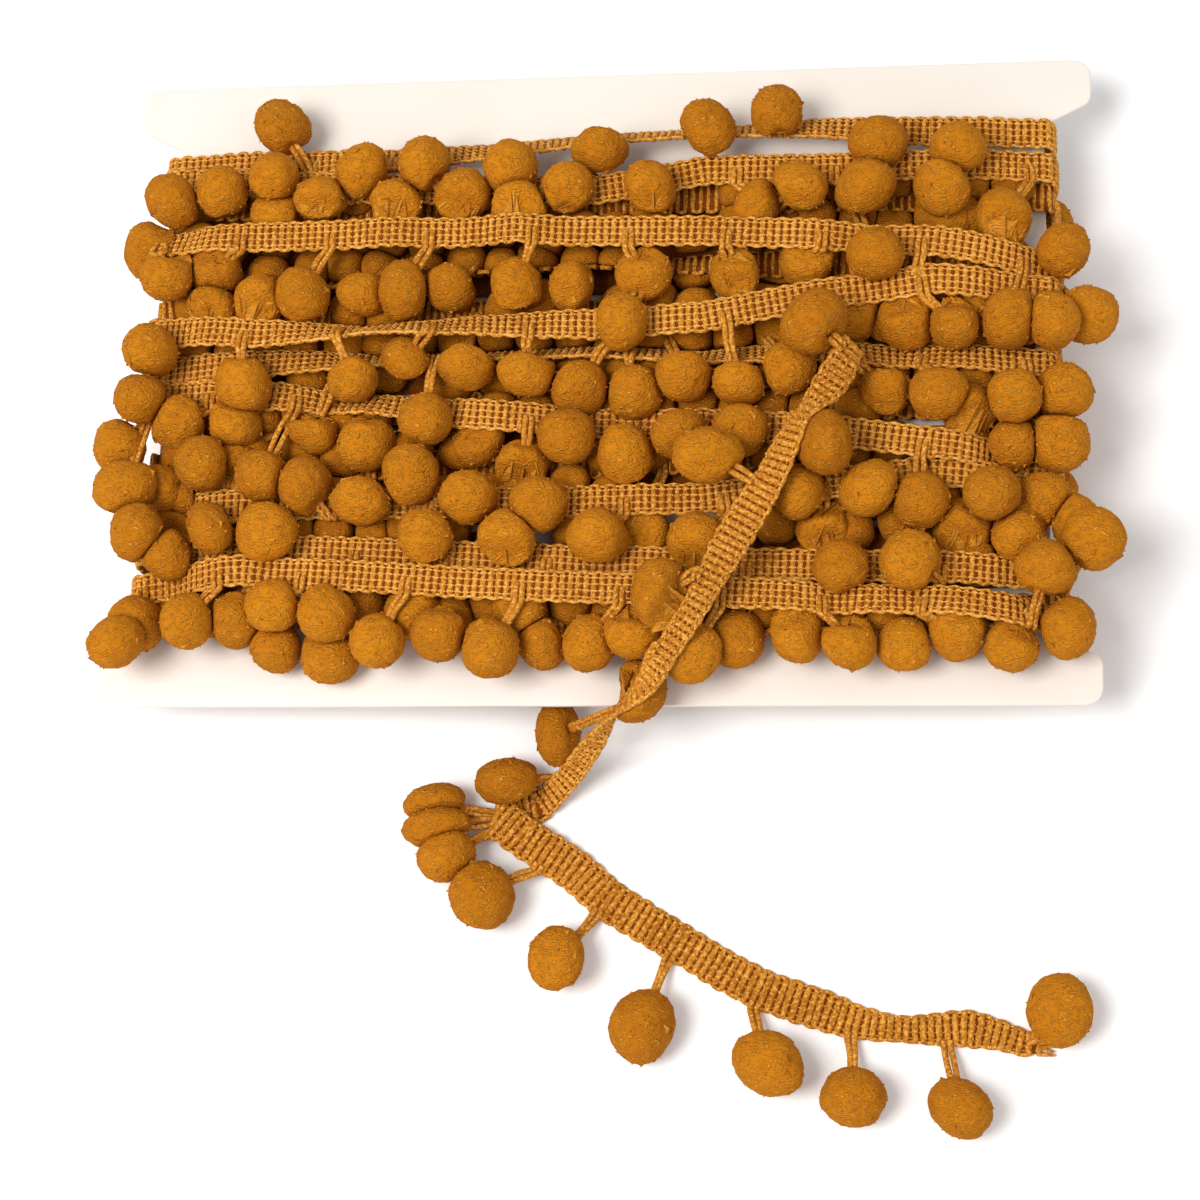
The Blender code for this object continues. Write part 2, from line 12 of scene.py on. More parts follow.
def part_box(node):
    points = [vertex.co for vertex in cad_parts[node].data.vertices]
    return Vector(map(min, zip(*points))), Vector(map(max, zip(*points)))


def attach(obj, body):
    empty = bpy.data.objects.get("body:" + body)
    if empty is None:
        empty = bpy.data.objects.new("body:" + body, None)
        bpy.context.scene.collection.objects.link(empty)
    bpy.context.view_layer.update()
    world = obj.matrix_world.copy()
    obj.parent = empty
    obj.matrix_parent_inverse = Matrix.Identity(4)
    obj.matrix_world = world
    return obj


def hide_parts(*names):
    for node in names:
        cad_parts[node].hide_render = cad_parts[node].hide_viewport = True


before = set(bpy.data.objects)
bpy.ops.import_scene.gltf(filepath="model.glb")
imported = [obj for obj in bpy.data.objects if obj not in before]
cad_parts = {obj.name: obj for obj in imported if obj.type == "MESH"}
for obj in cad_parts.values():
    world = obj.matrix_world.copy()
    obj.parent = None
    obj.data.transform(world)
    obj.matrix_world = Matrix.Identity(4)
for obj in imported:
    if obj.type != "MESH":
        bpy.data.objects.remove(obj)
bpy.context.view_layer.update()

# Camera and studio
# The trim lies on a pale table and is seen almost from above, through a short telephoto
# lens. A broad soft light hangs over it, a little to the left, and a weak one fills.
MM = 0.001
card_low, card_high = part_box("card")
CARD_MIDDLE = Vector(((card_low[0] + card_high[0]) / 2, (card_low[1] + card_high[1]) / 2, 0))
CARD_BASE = card_low[2] / MM
CARD_TOP = card_high[2] / MM
CAMERA_PLACE = (73.3, -189.0, 511.1)  # millimetres from the middle of the card's face
CAMERA_RIGHT = Vector((0.99108, 0.02901, -0.13009))
CAMERA_UP = Vector((0.00697, 0.96341, 0.26793))
FRAME_PIXELS = 1200
FOCAL_PIXELS = 2700
TABLE_SIZE = 4.0
PALE = (0.955, 0.955, 0.955)


def placed(points):
    """Millimetres from the card's middle, heights above the table, as points in metres."""
    return np.asarray(points, dtype=float) * MM + np.array(CARD_MIDDLE)


camera_data = bpy.data.cameras.new("camera")
camera_data.sensor_fit = "HORIZONTAL"
camera_data.sensor_width = 36.0
camera_data.lens = FOCAL_PIXELS / FRAME_PIXELS * camera_data.sensor_width
camera_data.clip_start = 0.01
camera = bpy.data.objects.new("camera", camera_data)
bpy.context.scene.collection.objects.link(camera)
camera_back = CAMERA_RIGHT.cross(CAMERA_UP).normalized()
camera_up = camera_back.cross(CAMERA_RIGHT).normalized()
camera_right = camera_up.cross(camera_back)
turned = Matrix((camera_right, camera_up, camera_back)).transposed().to_4x4()
stand = Vector(placed(np.add(CAMERA_PLACE, (0, 0, CARD_TOP))))
camera.matrix_world = Matrix.Translation(stand) @ turned
bpy.context.scene.camera = camera


class Wire:
    """A shader value that can be worked out with, each step adding its own node."""

    def __init__(self, tree, socket):
        self.tree = tree
        self.socket = socket

    def math(self, operation, *others):
        return put(self.tree, "ShaderNodeMath", {"operation": operation}, [self, *others])

    def __add__(self, other):
        return self.math("ADD", other)

    def __sub__(self, other):
        return self.math("SUBTRACT", other)

    def __mul__(self, other):
        return self.math("MULTIPLY", other)

    def __rsub__(self, other):
        return (self * -1.0) + other

    __radd__ = __add__
    __rmul__ = __mul__

    def steps(self, low, high):
        """Nothing below low, all above high, and a soft rise between."""
        settings = {"interpolation_type": "SMOOTHSTEP"}
        return put(self.tree, "ShaderNodeMapRange", settings,
                   {"Value": self, "From Min": low, "From Max": high})

    def blend(self, first, second):
        """One colour where the value is 0, the other where it is 1."""
        settings = {"data_type": "RGBA", "clamp_factor": True}
        return put(self.tree, "ShaderNodeMix", settings,
                   {"Factor": self, 6: first, 7: second}, output=2)


def put(tree, kind, settings, sockets, output=0):
    """Add a node, its settings first and then its sockets' values or links."""
    node = tree.nodes.new(kind)
    for name, value in settings.items():
        setattr(node, name, value)
    pairs = sockets.items() if isinstance(sockets, dict) else enumerate(sockets)
    for key, value in pairs:
        socket = node.inputs[key]
        if isinstance(value, Wire):
            tree.links.new(value.socket, socket)
        elif isinstance(value, tuple) and len(value) == 3 and socket.type == "RGBA":
            socket.default_value = (*value, 1.0)
        else:
            socket.default_value = value
    return Wire(tree, node.outputs[output])


def noise(tree, where, scale, output=0, **sockets):
    """A noise texture of the given scale."""
    return put(tree, "ShaderNodeTexNoise", {}, {"Vector": where, "Scale": scale, **sockets},
               output)


def new_material(name, roughness, gloss):
    """A Principled material with its constant values on the shader's own sockets, and the
    piece's own coordinates ready in its tree."""
    material = bpy.data.materials.new(name)
    material.use_nodes = True
    tree = material.node_tree
    shader = tree.nodes["Principled BSDF"]
    shader.inputs["Roughness"].default_value = roughness
    shader.inputs["Specular IOR Level"].default_value = gloss
    where = put(tree, "ShaderNodeTexCoord", {}, {}, output=3)
    return material, tree, shader, where


def mesh_of(name, bm):
    """A mesh made of a bmesh, which ends with it."""
    mesh = bpy.data.meshes.new(name)
    bm.to_mesh(mesh)
    bm.free()
    return mesh


def add_piece(name, mesh, material):
    """A named object at the origin, with its place in its mesh."""
    piece = bpy.data.objects.new(name, mesh)
    mesh.materials.append(material)
    bpy.context.scene.collection.objects.link(piece)
    return piece


def table_material():
    """Matt white table, with the faintest mottling."""
    material, tree, shader, where = new_material("pale_table", 0.9, 0.2)
    colour = noise(tree, where, 3.0).blend(PALE, tuple(0.985 * part for part in PALE))
    tree.links.new(colour.socket, shader.inputs["Base Color"])
    return material


bm = bmesh.new()
bmesh.ops.create_grid(bm, x_segments=1, y_segments=1, size=TABLE_SIZE / 2)
table = add_piece("table", mesh_of("table", bm), table_material())


def add_light(name, place, size, power, colour):
    """A square area light that looks at the middle of the card."""
    data = bpy.data.lights.new(name, "AREA")
    data.shape = "SQUARE"
    data.size = size
    data.energy = power
    data.color = colour
    light = bpy.data.objects.new(name, data)
    light.location = place
    light.rotation_euler = Vector(place).to_track_quat("Z", "Y").to_euler()
    bpy.context.scene.collection.objects.link(light)


add_light("key", (-0.50, -0.22, 1.15), 0.60, 13.5, (1.0, 0.985, 0.96))
add_light("fill", (0.9, -0.5, 1.1), 1.2, 3.2, (0.98, 0.99, 1.0))
world = bpy.data.worlds.new("studio")
world.use_nodes = True
world.node_tree.nodes["Background"].inputs["Color"].default_value = (1.0, 1.0, 1.0, 1.0)
world.node_tree.nodes["Background"].inputs["Strength"].default_value = 0.60
bpy.context.scene.world = world
bpy.context.scene.view_settings.view_transform = "Standard"

# Card
# One flat sheet of coated white board, die-cut with four rounded ears and a waist that
# holds the winding. Its cut edges are softly crushed by the die.
CARD_EDGE_ROUND = 0.35
CARD_FACE_COLOUR = (0.80, 0.735, 0.67)
CARD_WORN_COLOUR = (0.76, 0.69, 0.625)


def finish_material(tree, shader, colour, height, depth, distance):
    """Feed a material's colour and the bump of its height."""
    tree.links.new(colour.socket, shader.inputs["Base Color"])
    bump = put(tree, "ShaderNodeBump", {}, {"Strength": depth, "Distance": distance,
                                            "Height": height})
    tree.links.new(bump.socket, shader.inputs["Normal"])


def board_material():
    """Coated board: near white, satin, with faint pulp mottling and soft dents."""
    material, tree, shader, where = new_material("coated_board", 0.45, 0.3)
    pulp = noise(tree, where, 900.0, Detail=3.0)
    patches = noise(tree, where, 28.0, Detail=2.0)
    mottling = patches.steps(0.45, 0.75) * 0.5 + pulp.steps(0.5, 0.8) * 0.25
    colour = mottling.blend(CARD_FACE_COLOUR, CARD_WORN_COLOUR)
    finish_material(tree, shader, colour, pulp + patches * 3.0, 0.25, 0.00012)
    return material


bm = bmesh.new()
bm.from_mesh(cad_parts["card"].data)
bmesh.ops.remove_doubles(bm, verts=bm.verts, dist=1e-6)
bmesh.ops.dissolve_limit(bm, angle_limit=math.radians(3), verts=bm.verts, edges=bm.edges)
rims = [edge for edge in bm.edges if edge.calc_face_angle(0) > math.radians(60)]
bmesh.ops.bevel(bm, geom=rims, offset=CARD_EDGE_ROUND * MM, segments=3, profile=0.5,
                affect="EDGES", material=-1)
card_mesh = mesh_of("card_board", bm)
card = add_piece("card_board", card_mesh, board_material())
card_mesh.shade_smooth()
card_mesh.set_sharp_from_angle(angle=math.radians(35))
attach(card, "root")
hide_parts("card")

# Lie of the winding
# The trim goes round the card in fifteen turns. Each turn's tape is pulled taut over the
# pompoms below it, and each pompom falls where its two threads let it.
# A third value after a pompom's place lifts it over the tape that crosses there.
WAIST_HALF = 90.5
TAPE_WIDTH = 7.5
BALL_RADIUS = 5.8
BALL_SPREAD = 0.35
PITCH = 19.5
ROOT_REACH = 6.0  # most that a thread leans along the tape
PLACING_HEIGHT = 9.0  # height above the card that the pompoms were placed at
BALL_REST = 6.0  # height above the card of a pompom that lies on it
LEVEL_SHARE = 0.35  # how far a pompom rises with its turn
LOWEST_BALL = 5.4  # heights above the card that the pompoms settle between
HIGHEST_BALL = 12.0
SETTLING_ROUNDS = 40
TAPE_PUSH = 0.3  # share of the way off a tape that a pompom goes in a round
OVER_TAPE = 0.85  # a pompom's height on a tape, in radii
UNDER_TAPE = 0.95  # and its depth under one
UNDER_LOOSE_END = 1.4
FRONT_STATIONS = 121
BACK_STATIONS = 40
EDGE_RISE = 18.0  # distance from the card's edge in which a tape rises
EDGE_LEVEL = 0.6  # share of its height that it has at the edge
TAPE_REST = 1.2
TAPE_CEILING = 30.0
TAPE_CROWN = 0.8  # height of a tape on a pompom, as a share of the pompom's
TAPE_GAP = 0.6
SMOOTHING = np.exp(-0.5 * (np.arange(-6, 7) / 2.4) ** 2)
BACK_DEPTH = 2.5  # the nearest tapes of the back, below the card
BACK_STEP = 2.2
EDGE_BULGE = 1.2  # how far a turn stands off the card's edge
EDGE_GROWTH = 0.12  # and how much more with its height
SEED = 11
TURN_COLUMNS = ("y", "level", "tilt", "first", "pompoms")
UNTILTED = (0,) * 9
TURNS = (
    ((47.2, 46.9, 47.1, 48.6, 50.7, 51.5, 51.8, 50.3, 50.0), 5.2, (0, 0, 20, 40, 50, 55, 30, 0, 0),
     11.0, ((-78.5, 39.5), (-66.5, 54), (-49, 43.5), (-18, 43), (0.5, 47), (23, 50.5), (36.5, 54),
            (57, 46.5), (73, 45))),
    ((43.6, 41.8, 39.9, 38.9, 38.3, 41.9, 41.6, 41.9, 41.9), 8.0, UNTILTED,
     2.0, ((-89, 38), (-67.5, 42), (-57.5, 37.5), (-36, 44.5), (-15.5, 34.5), (11, 38),
           (32.5, 33), (54.5, 37), (69.5, 36), (82, 29.5))),
    ((39.3, 38.0, 36.6, 36.7, 37.2, 37.4, 37.0, 36.8, 36.5), 4.0, UNTILTED,
     7.0, ((-92.5, 26.5), (-66.5, 34.5), (-41.5, 35.5), (-27.5, 37.5), (-6, 38.5), None,
           (41.5, 37.5), (56.5, 22.5, 8), (72, 30), (93.5, 22.5))),
    ((27.9, 27.5, 27.6, 27.4, 27.0, 26.5, 25.1, 23.2, 19.8), 13.0, (30, 0, 0, 0, 0, 0, 0, 0, 0),
     0.5, ((-88.5, 21.5), (-78.5, 22), (-60, 16), (-39, 17), (-15.5, 17), (10, 19),
           (28.5, 18.5), (43, 21.5), (62.5, 8), (83, 8))),
    ((14.9, 19.0, 20.7, 21.7, 22.5, 22.4, 22.3, 22.0, 21.4), 5.0, (0, 40, 70, 75, 70, 30, 0, 0, 0),
     7.0, ((-78.5, 13.5), (-68.5, 15), (-47, 16.5), (-29.5, 17.5), (-4.5, 17), (6, 9, 8), None,
           (52, 9.5), (78, 11.5), (98, 8.5))),
    ((15.0, 14.5, 14.0, 13.5, 13.0, 12.0, 11.0, 9.5, 8.0), 3.0, UNTILTED,
     7.0, ((-91.5, 5, 6), None, None, (-25.5, 0.5, 3), None, (19, -2, 3), (39.5, -1.5, 3),
           None, (83, -18), (93, -7.5))),
    ((8.8, 6.5, 6.5, 7.0, 7.2, 8.1, 12.3, 15.2, 13.9), 13.0, (0, 5, 62, 35, 0, 0, 0, 0, 0),
     0.5, ((-92.5, -5.5), (-71, -3), (-48.5, -1.5), (-37.5, 1.5), (-13, -1), (-2, -5),
           (29.5, -4), None, (72, 7.5), (91, 7.5))),
    ((1.2, 1.8, 2.2, 2.5, 2.8, 1.4, 2.1, 0.8, -0.2), 8.5, (0, 10, 50, 60, 55, 50, 30, 30, 10),
     1.0, ((-94, -24.5), (-72, -11.5), (-56, -13), (-33, -11), None, (9, -6), None,
           (58.5, -6), (69, -7), (83.5, -8.5))),
    ((-4.4, -5.0, -7.4, -10.5, -11.7, -12.5, -14.5, -17.7, -20.5), 9.5,
     (0, 0, 40, 0, 0, 0, 0, 0, 0),
     0.5, ((-96, -16), (-84, -11), (-66, -22.5), (-35.5, -22.5), (-13, -21), (7.5, -19), None,
           (42, -27.5), (65.5, -29.5), (84, -36.5))),
    ((-8.0, -7.5, -7.0, -6.5, -6.0, -6.5, -7.0, -7.5, -8.0), 3.0, UNTILTED,
     7.0, ((-78.5, -20), (-71.5, -21.5), (-45, -16), (-22, -16), (-4.5, -15, 4), (18, -15, 4),
           (30, -14.5, 4), None, (75, -11.5), (92, -17.5))),
    ((-18.0, -18.2, -18.5, -18.8, -19.0, -17.7, -16.5, -15.2, -14.0), 3.0, UNTILTED,
     7.0, ((-86.5, -25), (-64.5, -34, 4), (-45.5, -28, 4), (-24, -27.5, 4), (-9.5, -29, 4),
           (11, -35.5), None, (55.5, -26.5, 4), (79, -28, 4), (89, -29.5))),
    ((-28.6, -28.1, -28.1, -28.3, -28.4, -28.2, -25.6, -22.9, -25.3), 8.5, UNTILTED,
     0.5, ((-91, -34), (-76, -33.5), (-57.5, -24.5), (-32, -35.5), (-15.5, -36), (2.5, -36),
           (22, -37), (46.5, -34.5), (73.5, -34.5), (95, -34))),
    ((-36.4, -37.4, -38.5, -39.5, -40.6, -41.3, -41.8, -42.2, -43.2), 8.0, UNTILTED,
     5.0, ((-84.5, -39), (-69, -52.5), (-51, -51.5), (-34, -51), (-12.5, -50.5), (10, -55),
           (29.5, -56.5), (50, -42.5), (63.5, -41.5), (98, -37.5))),
    ((-44.9, -42.9, -44.4, -46.0, -47.1, -48.0, -49.1, -49.7, -52.2), 12.0,
     (0, 0, 0, 0, 0, 0, 10, 20, 10),
     0.5, ((-93.5, -56.5), (-79, -52.5), (-62, -49.5), (-40.5, -57), (-18, -58.5), (1.5, -57.5),
           (21.5, -59.5), (52, -57.5), (72, -55.5), (89, -43))),
    ((-48.0, -49.0, -50.0, -50.3, -50.4, -50.3, -50.2, -49.8, -49.4), 3.0, UNTILTED,
     7.0, ((-89.5, -53), (-61, -58), (-50, -60), (-28, -55.5), (-8, -57.5), (17.5, -56.5),
           (41.5, -55.5), (62, -58), (82.5, -58), (93, -55))),
)
LOOSE_ROUTE = (
    (52.7, -1.0, 36.0, 130.0, 7.0),
    (48.6, -8.8, 37.0, 172.0, 7.4),
    (43.6, -14.9, 37.0, 228.0, 6.4),
    (40.4, -20.3, 36.7, 212.0, 7.0),
    (37.2, -27.3, 36.4, 195.0, 7.2),
    (33.4, -33.8, 36.0, 182.0, 7.8),
    (29.7, -40.3, 36.0, 178.0, 8.0),
    (26.2, -47.0, 36.0, 170.0, 6.4),
    (22.4, -54.1, 35.5, 166.0, 5.6),
    (17.8, -60.7, 33.5, 175.0, 5.4),
    (13.1, -66.5, 29.0, 192.0, 5.6),
    (6.2, -70.5, 21.5, 250.0, 5.6),
    (1.1, -75.3, 14.5, 318.0, 5.0),
    (-3.0, -78.8, 8.5, 340.0, 5.2),
    (-7.0, -81.9, 3.8, 353.0, 5.8),
    (-11.2, -84.7, 0.7, 360.0, 7.4),
)
# places where the bare card shows through the winding
BARE_PLACES = ((36.0, 48.0), (27.0, 48.0), (85.5, 32.0), (-12.5, -34.5), (13.5, -29.0),
               (22.0, -29.0), (84.0, -50.0))
BARE_REACH = 6.0
INNER_TAPES = np.arange(-49.0, 46.0, 7.0)
INNER_HALF = 88.0
INNER_STEP = 2.0
INNER_HEIGHT = 0.8
INNER_LEAST = 3  # steps of the shortest length of inner tape
turns = [dict(zip(TURN_COLUMNS, row)) for row in TURNS]


def smooth(rows, steps):
    """Catmull-Rom curve through the rows of a table, each row kept."""
    table = np.array(rows, dtype=float)
    ends = np.vstack((2 * table[0] - table[1], table, 2 * table[-1] - table[-2]))
    result = []
    for i in range(1, len(ends) - 2):
        a, b, c, d = ends[i - 1:i + 3]
        for step in range(steps):
            t = step / steps
            result.append(0.5 * (2 * b + (c - a) * t + (2 * a - 5 * b + 4 * c - d) * t ** 2
                                 + (3 * b - a - 3 * c + d) * t ** 3))
    result.append(table[-1])
    return np.array(result)


def column(values, x):
    """A turn's nine even stations read at x."""
    return np.interp(x, np.linspace(-WAIST_HALF, WAIST_HALF, 9), values)


def front_pompoms():
    """Centre, place of the root along the tape, and turn of each pompom of the front."""
    found = []
    for number, turn in enumerate(turns):
        for order, place in enumerate(turn["pompoms"]):
            if place:
                x = turn["first"] - WAIST_HALF + PITCH * order
                x = place[0] + max(-ROOT_REACH, min(ROOT_REACH, x - place[0]))
                height = CARD_TOP + BALL_REST + LEVEL_SHARE * turn["level"] + sum(place[2:])
                found.append((*place[:2], height, x, number))
    return np.array(found)


def in_line(centres):
    """Pompoms moved to their own heights along the line of sight that they were placed on."""
    eye = np.add(CAMERA_PLACE, (0, 0, CARD_TOP))
    share = (eye[2] - centres[:, 2]) / (eye[2] - CARD_TOP - PLACING_HEIGHT)
    flat = eye[:2] + (centres[:, :2] - eye[:2]) * share[:, None]
    return np.column_stack((flat, centres[:, 2]))


def crowding(centres, radii, closeness, share):
    """The push on each pompom from those nearer than a share of both radii."""
    push = np.zeros_like(centres)
    for i, centre in enumerate(centres):
        away = centre - centres
        distance = norm(away, axis=1)
        wanted = closeness * (radii + radii[i])
        near = (distance < wanted) & (distance > 0)
        lift = (wanted[near] - distance[near]) / distance[near]
        push[i] = (away[near] * lift[:, None]).sum(axis=0) * share
    return push


def settle(centres, radii):
    """Push crowded pompoms apart, up and down, and clear of the tapes."""
    centres = centres.copy()
    route = smooth(LOOSE_ROUTE, 6)[:, :3]
    ceiling = np.maximum(centres[:, 2], CARD_TOP + HIGHEST_BALL)
    for i, centre in enumerate(centres):
        across = norm(route[:, :2] - centre[:2], axis=1)
        nearest = across.argmin()
        if across[nearest] < 4.0 + 0.8 * radii[i]:
            ceiling[i] = min(ceiling[i], route[nearest][2] - radii[i] - UNDER_LOOSE_END)
    for _ in range(SETTLING_ROUNDS):
        centres += crowding(centres, radii, 0.9, 0.25) * (0.0, 0.0, 1.0)
        for turn in turns:
            tape_z = CARD_TOP + turn["level"]
            for i, (x, y, z) in enumerate(centres):
                near = abs(y - column(turn["y"], x)) < TAPE_WIDTH / 2 + 0.4 * radii[i]
                if near and z > tape_z - 1.0:
                    centres[i][2] += TAPE_PUSH * (max(z, tape_z + OVER_TAPE * radii[i]) - z)
                elif near:
                    centres[i][2] += TAPE_PUSH * (min(z, tape_z - UNDER_TAPE * radii[i]) - z)
        centres[:, 2] = np.clip(centres[:, 2], CARD_TOP + LOWEST_BALL, ceiling)
    return centres


def tape_heights(turn, centres, radii, stations):
    """Heights of a turn's tape: over the pompoms that it lies on and under the others."""
    inward = np.clip((WAIST_HALF - abs(stations)) / EDGE_RISE, 0.0, 1.0)
    heights = CARD_TOP + turn["level"] * (
        EDGE_LEVEL + (1 - EDGE_LEVEL) * inward * inward * (3 - 2 * inward))
    y = column(turn["y"], stations)
    lowest = np.full(len(stations), CARD_TOP + TAPE_REST)
    highest = np.full(len(stations), CARD_TOP + TAPE_CEILING)
    for (px, py, pz), radius in zip(centres, radii):
        gap = np.hypot(stations - px, np.maximum(abs(y - py) - 0.3 * TAPE_WIDTH, 0.0))
        over = np.sqrt(np.maximum(radius ** 2 - gap ** 2, 0.0))
        if pz > np.interp(px, stations, heights) - 1.0:
            under_it = pz - TAPE_CROWN * over - TAPE_GAP
            highest = np.where(over > 0, np.minimum(highest, under_it), highest)
        else:
            on_it = pz + TAPE_CROWN * over + TAPE_GAP
            lowest = np.where(over > 0, np.maximum(lowest, on_it), lowest)
    heights = np.maximum(np.minimum(np.maximum(heights, lowest), highest), CARD_TOP + 1.0)
    padded = np.pad(heights, len(SMOOTHING) // 2, mode="edge")
    return np.convolve(padded, SMOOTHING / SMOOTHING.sum(), mode="valid")


def unit(vectors):
    """Vectors of an array, each made one long."""
    return vectors / norm(vectors, axis=-1, keepdims=True)


class Strip:
    """A length of tape, whose places are read by distance along, across and proud of it."""

    def __init__(self, rows, width):
        self.rows = rows
        self.width = width
        middle = rows[:, rows.shape[1] // 2]
        steps = norm(np.diff(middle, axis=0), axis=1)
        self.along = np.insert(np.cumsum(steps), 0, 0.0)
        wide = np.gradient(rows, axis=1)
        self.normals = unit(np.cross(np.gradient(rows, axis=0), wide))
        self.wide = unit(wide)

    def at(self, along, across, proud):
        """Points of the tape in millimetres."""
        i = np.interp(along, self.along, np.arange(len(self.along)))
        j = (np.asarray(across) / self.width + 0.5) * (self.rows.shape[1] - 1)
        i0 = np.clip(np.floor(i).astype(int), 0, self.rows.shape[0] - 2)
        j0 = np.clip(np.floor(j).astype(int), 0, self.rows.shape[1] - 2)
        u = (i - i0)[:, None]
        v = (j - j0)[:, None]
        result = 0.0
        for di, dj, share in ((0, 0, (1 - u) * (1 - v)), (1, 0, u * (1 - v)),
                              (0, 1, (1 - u) * v), (1, 1, u * v)):
            here = (i0 + di, j0 + dj)
            result = result + share * (self.rows[here] + self.normals[here]
                                       * np.asarray(proud)[:, None])
        return result


def wound_strip(turn, number, centres, radii):
    """One turn of tape: from the middle of the back, over the front and round again."""
    stations = np.linspace(-WAIST_HALF, WAIST_HALF, FRONT_STATIONS)
    heights = tape_heights(turn, centres, radii, stations)
    tilts = column(turn["tilt"], stations)
    back_z = CARD_BASE - BACK_DEPTH - BACK_STEP * (number % 3)
    bulge = EDGE_BULGE + EDGE_GROWTH * turn["level"]
    left_y, right_y = turn["y"][0], turn["y"][-1]

    def back_row(x):
        return (x, (left_y + right_y) / 2 + (x / WAIST_HALF) * (right_y - left_y) / 2, back_z, 0)

    rows = [back_row(x) for x in np.linspace(0, 1 - WAIST_HALF, BACK_STATIONS)]
    for high, side, y, front_z in ((0, -1, left_y, heights[0]), (1, 1, right_y, heights[-1])):
        mid_z = (front_z + back_z) / 2
        shoulder = side * (WAIST_HALF + 0.7 * bulge)
        wrap = [(shoulder, y, back_z + 0.12 * (front_z - back_z), 0),
                (side * (WAIST_HALF + bulge), y, mid_z, 0),
                (shoulder, y, front_z - 0.12 * (front_z - back_z), 0)]
        if high:
            rows += zip(stations, column(turn["y"], stations), heights, tilts)
            wrap.reverse()
        rows += wrap
    rows += [back_row(x) for x in np.linspace(WAIST_HALF - 1, 0, BACK_STATIONS)]
    table = smooth(rows, 3)
    middle = table[:, :3]
    forward = unit(np.gradient(middle, axis=0))
    wide = unit(np.array((0.0, 1.0, 0.0)) - forward * forward[:, 1:2])
    proud = np.cross(forward, wide)
    tilt = np.radians(table[:, 3:4])
    wide = wide * np.cos(tilt) - proud * np.sin(tilt)
    places = np.linspace(-0.5, 0.5, 3) * TAPE_WIDTH
    return Strip(middle[:, None, :] + wide[:, None, :] * places[None, :, None], TAPE_WIDTH)


def inner_spans():
    """The tapes next to the card, seen only in the gaps between the turns as bare ground in its
    painted-shade dark colour.
    """
    found = []
    x = np.arange(-INNER_HALF, INNER_HALF + 1.0, INNER_STEP)
    for y in INNER_TAPES:
        across = y + np.linspace(-0.5, 0.5, 3) * TAPE_WIDTH
        rows = np.array([[(place, side, CARD_TOP + INNER_HEIGHT) for side in across]
                         for place in x])
        strip = Strip(rows, TAPE_WIDTH)
        covered = np.array([all(math.hypot(place - spot, y - other) >= BARE_REACH
                                for spot, other in BARE_PLACES) for place in x])
        for run in np.split(np.arange(len(x)), np.flatnonzero(np.diff(covered)) + 1):
            if covered[run[0]] and len(run) > INNER_LEAST:
                found.append((strip, strip.along[run[0]], strip.along[run[-1]]))
    return found


rng = random.Random(SEED)
hung = front_pompoms()
front_radii = np.array([BALL_RADIUS + rng.uniform(-1, 1) * BALL_SPREAD for _ in hung])
front_centres = in_line(settle(hung[:, :3], front_radii))
wound_strips = [wound_strip(turn, number, front_centres, front_radii)
                for number, turn in enumerate(turns)]

# Lie of the loose end
# The last length of trim comes off the winding, runs down over the card's lower edge,
# folds once flat on the table and ends in a cut.
LOOSE_WIDTH = 9.4  # the tape relaxed, from loop to loop
LOOSE_THICKNESS = 1.4
FOLD_HEADINGS = ((-0.982, -0.188), (0.78, -0.63))
FOLD_CREASE = (-18.5, -86.1)
FOLD_BEND_RADIUS = 1.05
FOLD_LENGTH = 17.0
FOLD_STEPS = 41
FOLD_EASE = 3  # the tape is at its full width a third of the way along
ROUTE_STEPS = 16
# the last column is the tape's width there, less where it is drawn tight or leans
TABLE_ROUTE = (
    (-3.6, -98.0, 1.5, 180.0, 9.4),
    (3.9, -104.0, 0.7, 180.0, 9.2),
    (18.4, -112.6, 0.7, 180.0, 8.8),
    (32.3, -120.3, 0.7, 180.0, 9.0),
    (45.4, -124.8, 0.7, 180.0, 8.8),
    (53.1, -127.2, 0.7, 180.0, 7.2),
    (60.8, -128.3, 0.7, 180.0, 5.6),
    (67.5, -128.3, 0.7, 180.0, 6.8),
    (73.8, -128.1, 0.7, 180.0, 8.0),
    (79.9, -129.3, 0.7, 180.0, 6.4),
    (84.0, -130.6, 0.7, 180.0, 5.4),
    (88.2, -130.9, 0.7, 180.0, 4.4),
)


def strip_across(middle, forward, roll, width):
    """Five places across the loose tape, rolled about its length."""
    forward = forward / norm(forward)
    side = np.cross((0.0, 0.0, 1.0), forward)
    side /= norm(side)
    wide = side * math.cos(roll) + np.cross(forward, side) * math.sin(roll)
    return middle + wide * np.linspace(-0.5, 0.5, 5)[:, None] * width


def route_rows(table):
    """Rows of places across the loose tape, for sections of x, y, z, roll and width."""
    forward = np.gradient(table[:, :3], axis=0)
    return [strip_across(row[:3], ahead, math.radians(row[3]), row[4])
            for row, ahead in zip(table, forward)]


fold_in, fold_out = (np.array(way) / norm(way) for way in FOLD_HEADINGS)
fold_normal = (fold_in - fold_out) / norm(fold_in - fold_out)


def roll_over(point):
    """Fold a place on the flat tape back over the crease, round a small bend."""
    floor = LOOSE_THICKNESS / 2
    beyond = (point[:2] - FOLD_CREASE) @ fold_normal
    if beyond <= 0:
        return point
    foot = point[:2] - fold_normal * beyond
    angle = min(beyond / FOLD_BEND_RADIUS, math.pi)
    back = max(beyond - math.pi * FOLD_BEND_RADIUS, 0.0)
    flat = foot + fold_normal * (FOLD_BEND_RADIUS * math.sin(angle) - back)
    return np.array((*flat, floor + FOLD_BEND_RADIUS * (1 - math.cos(angle))))


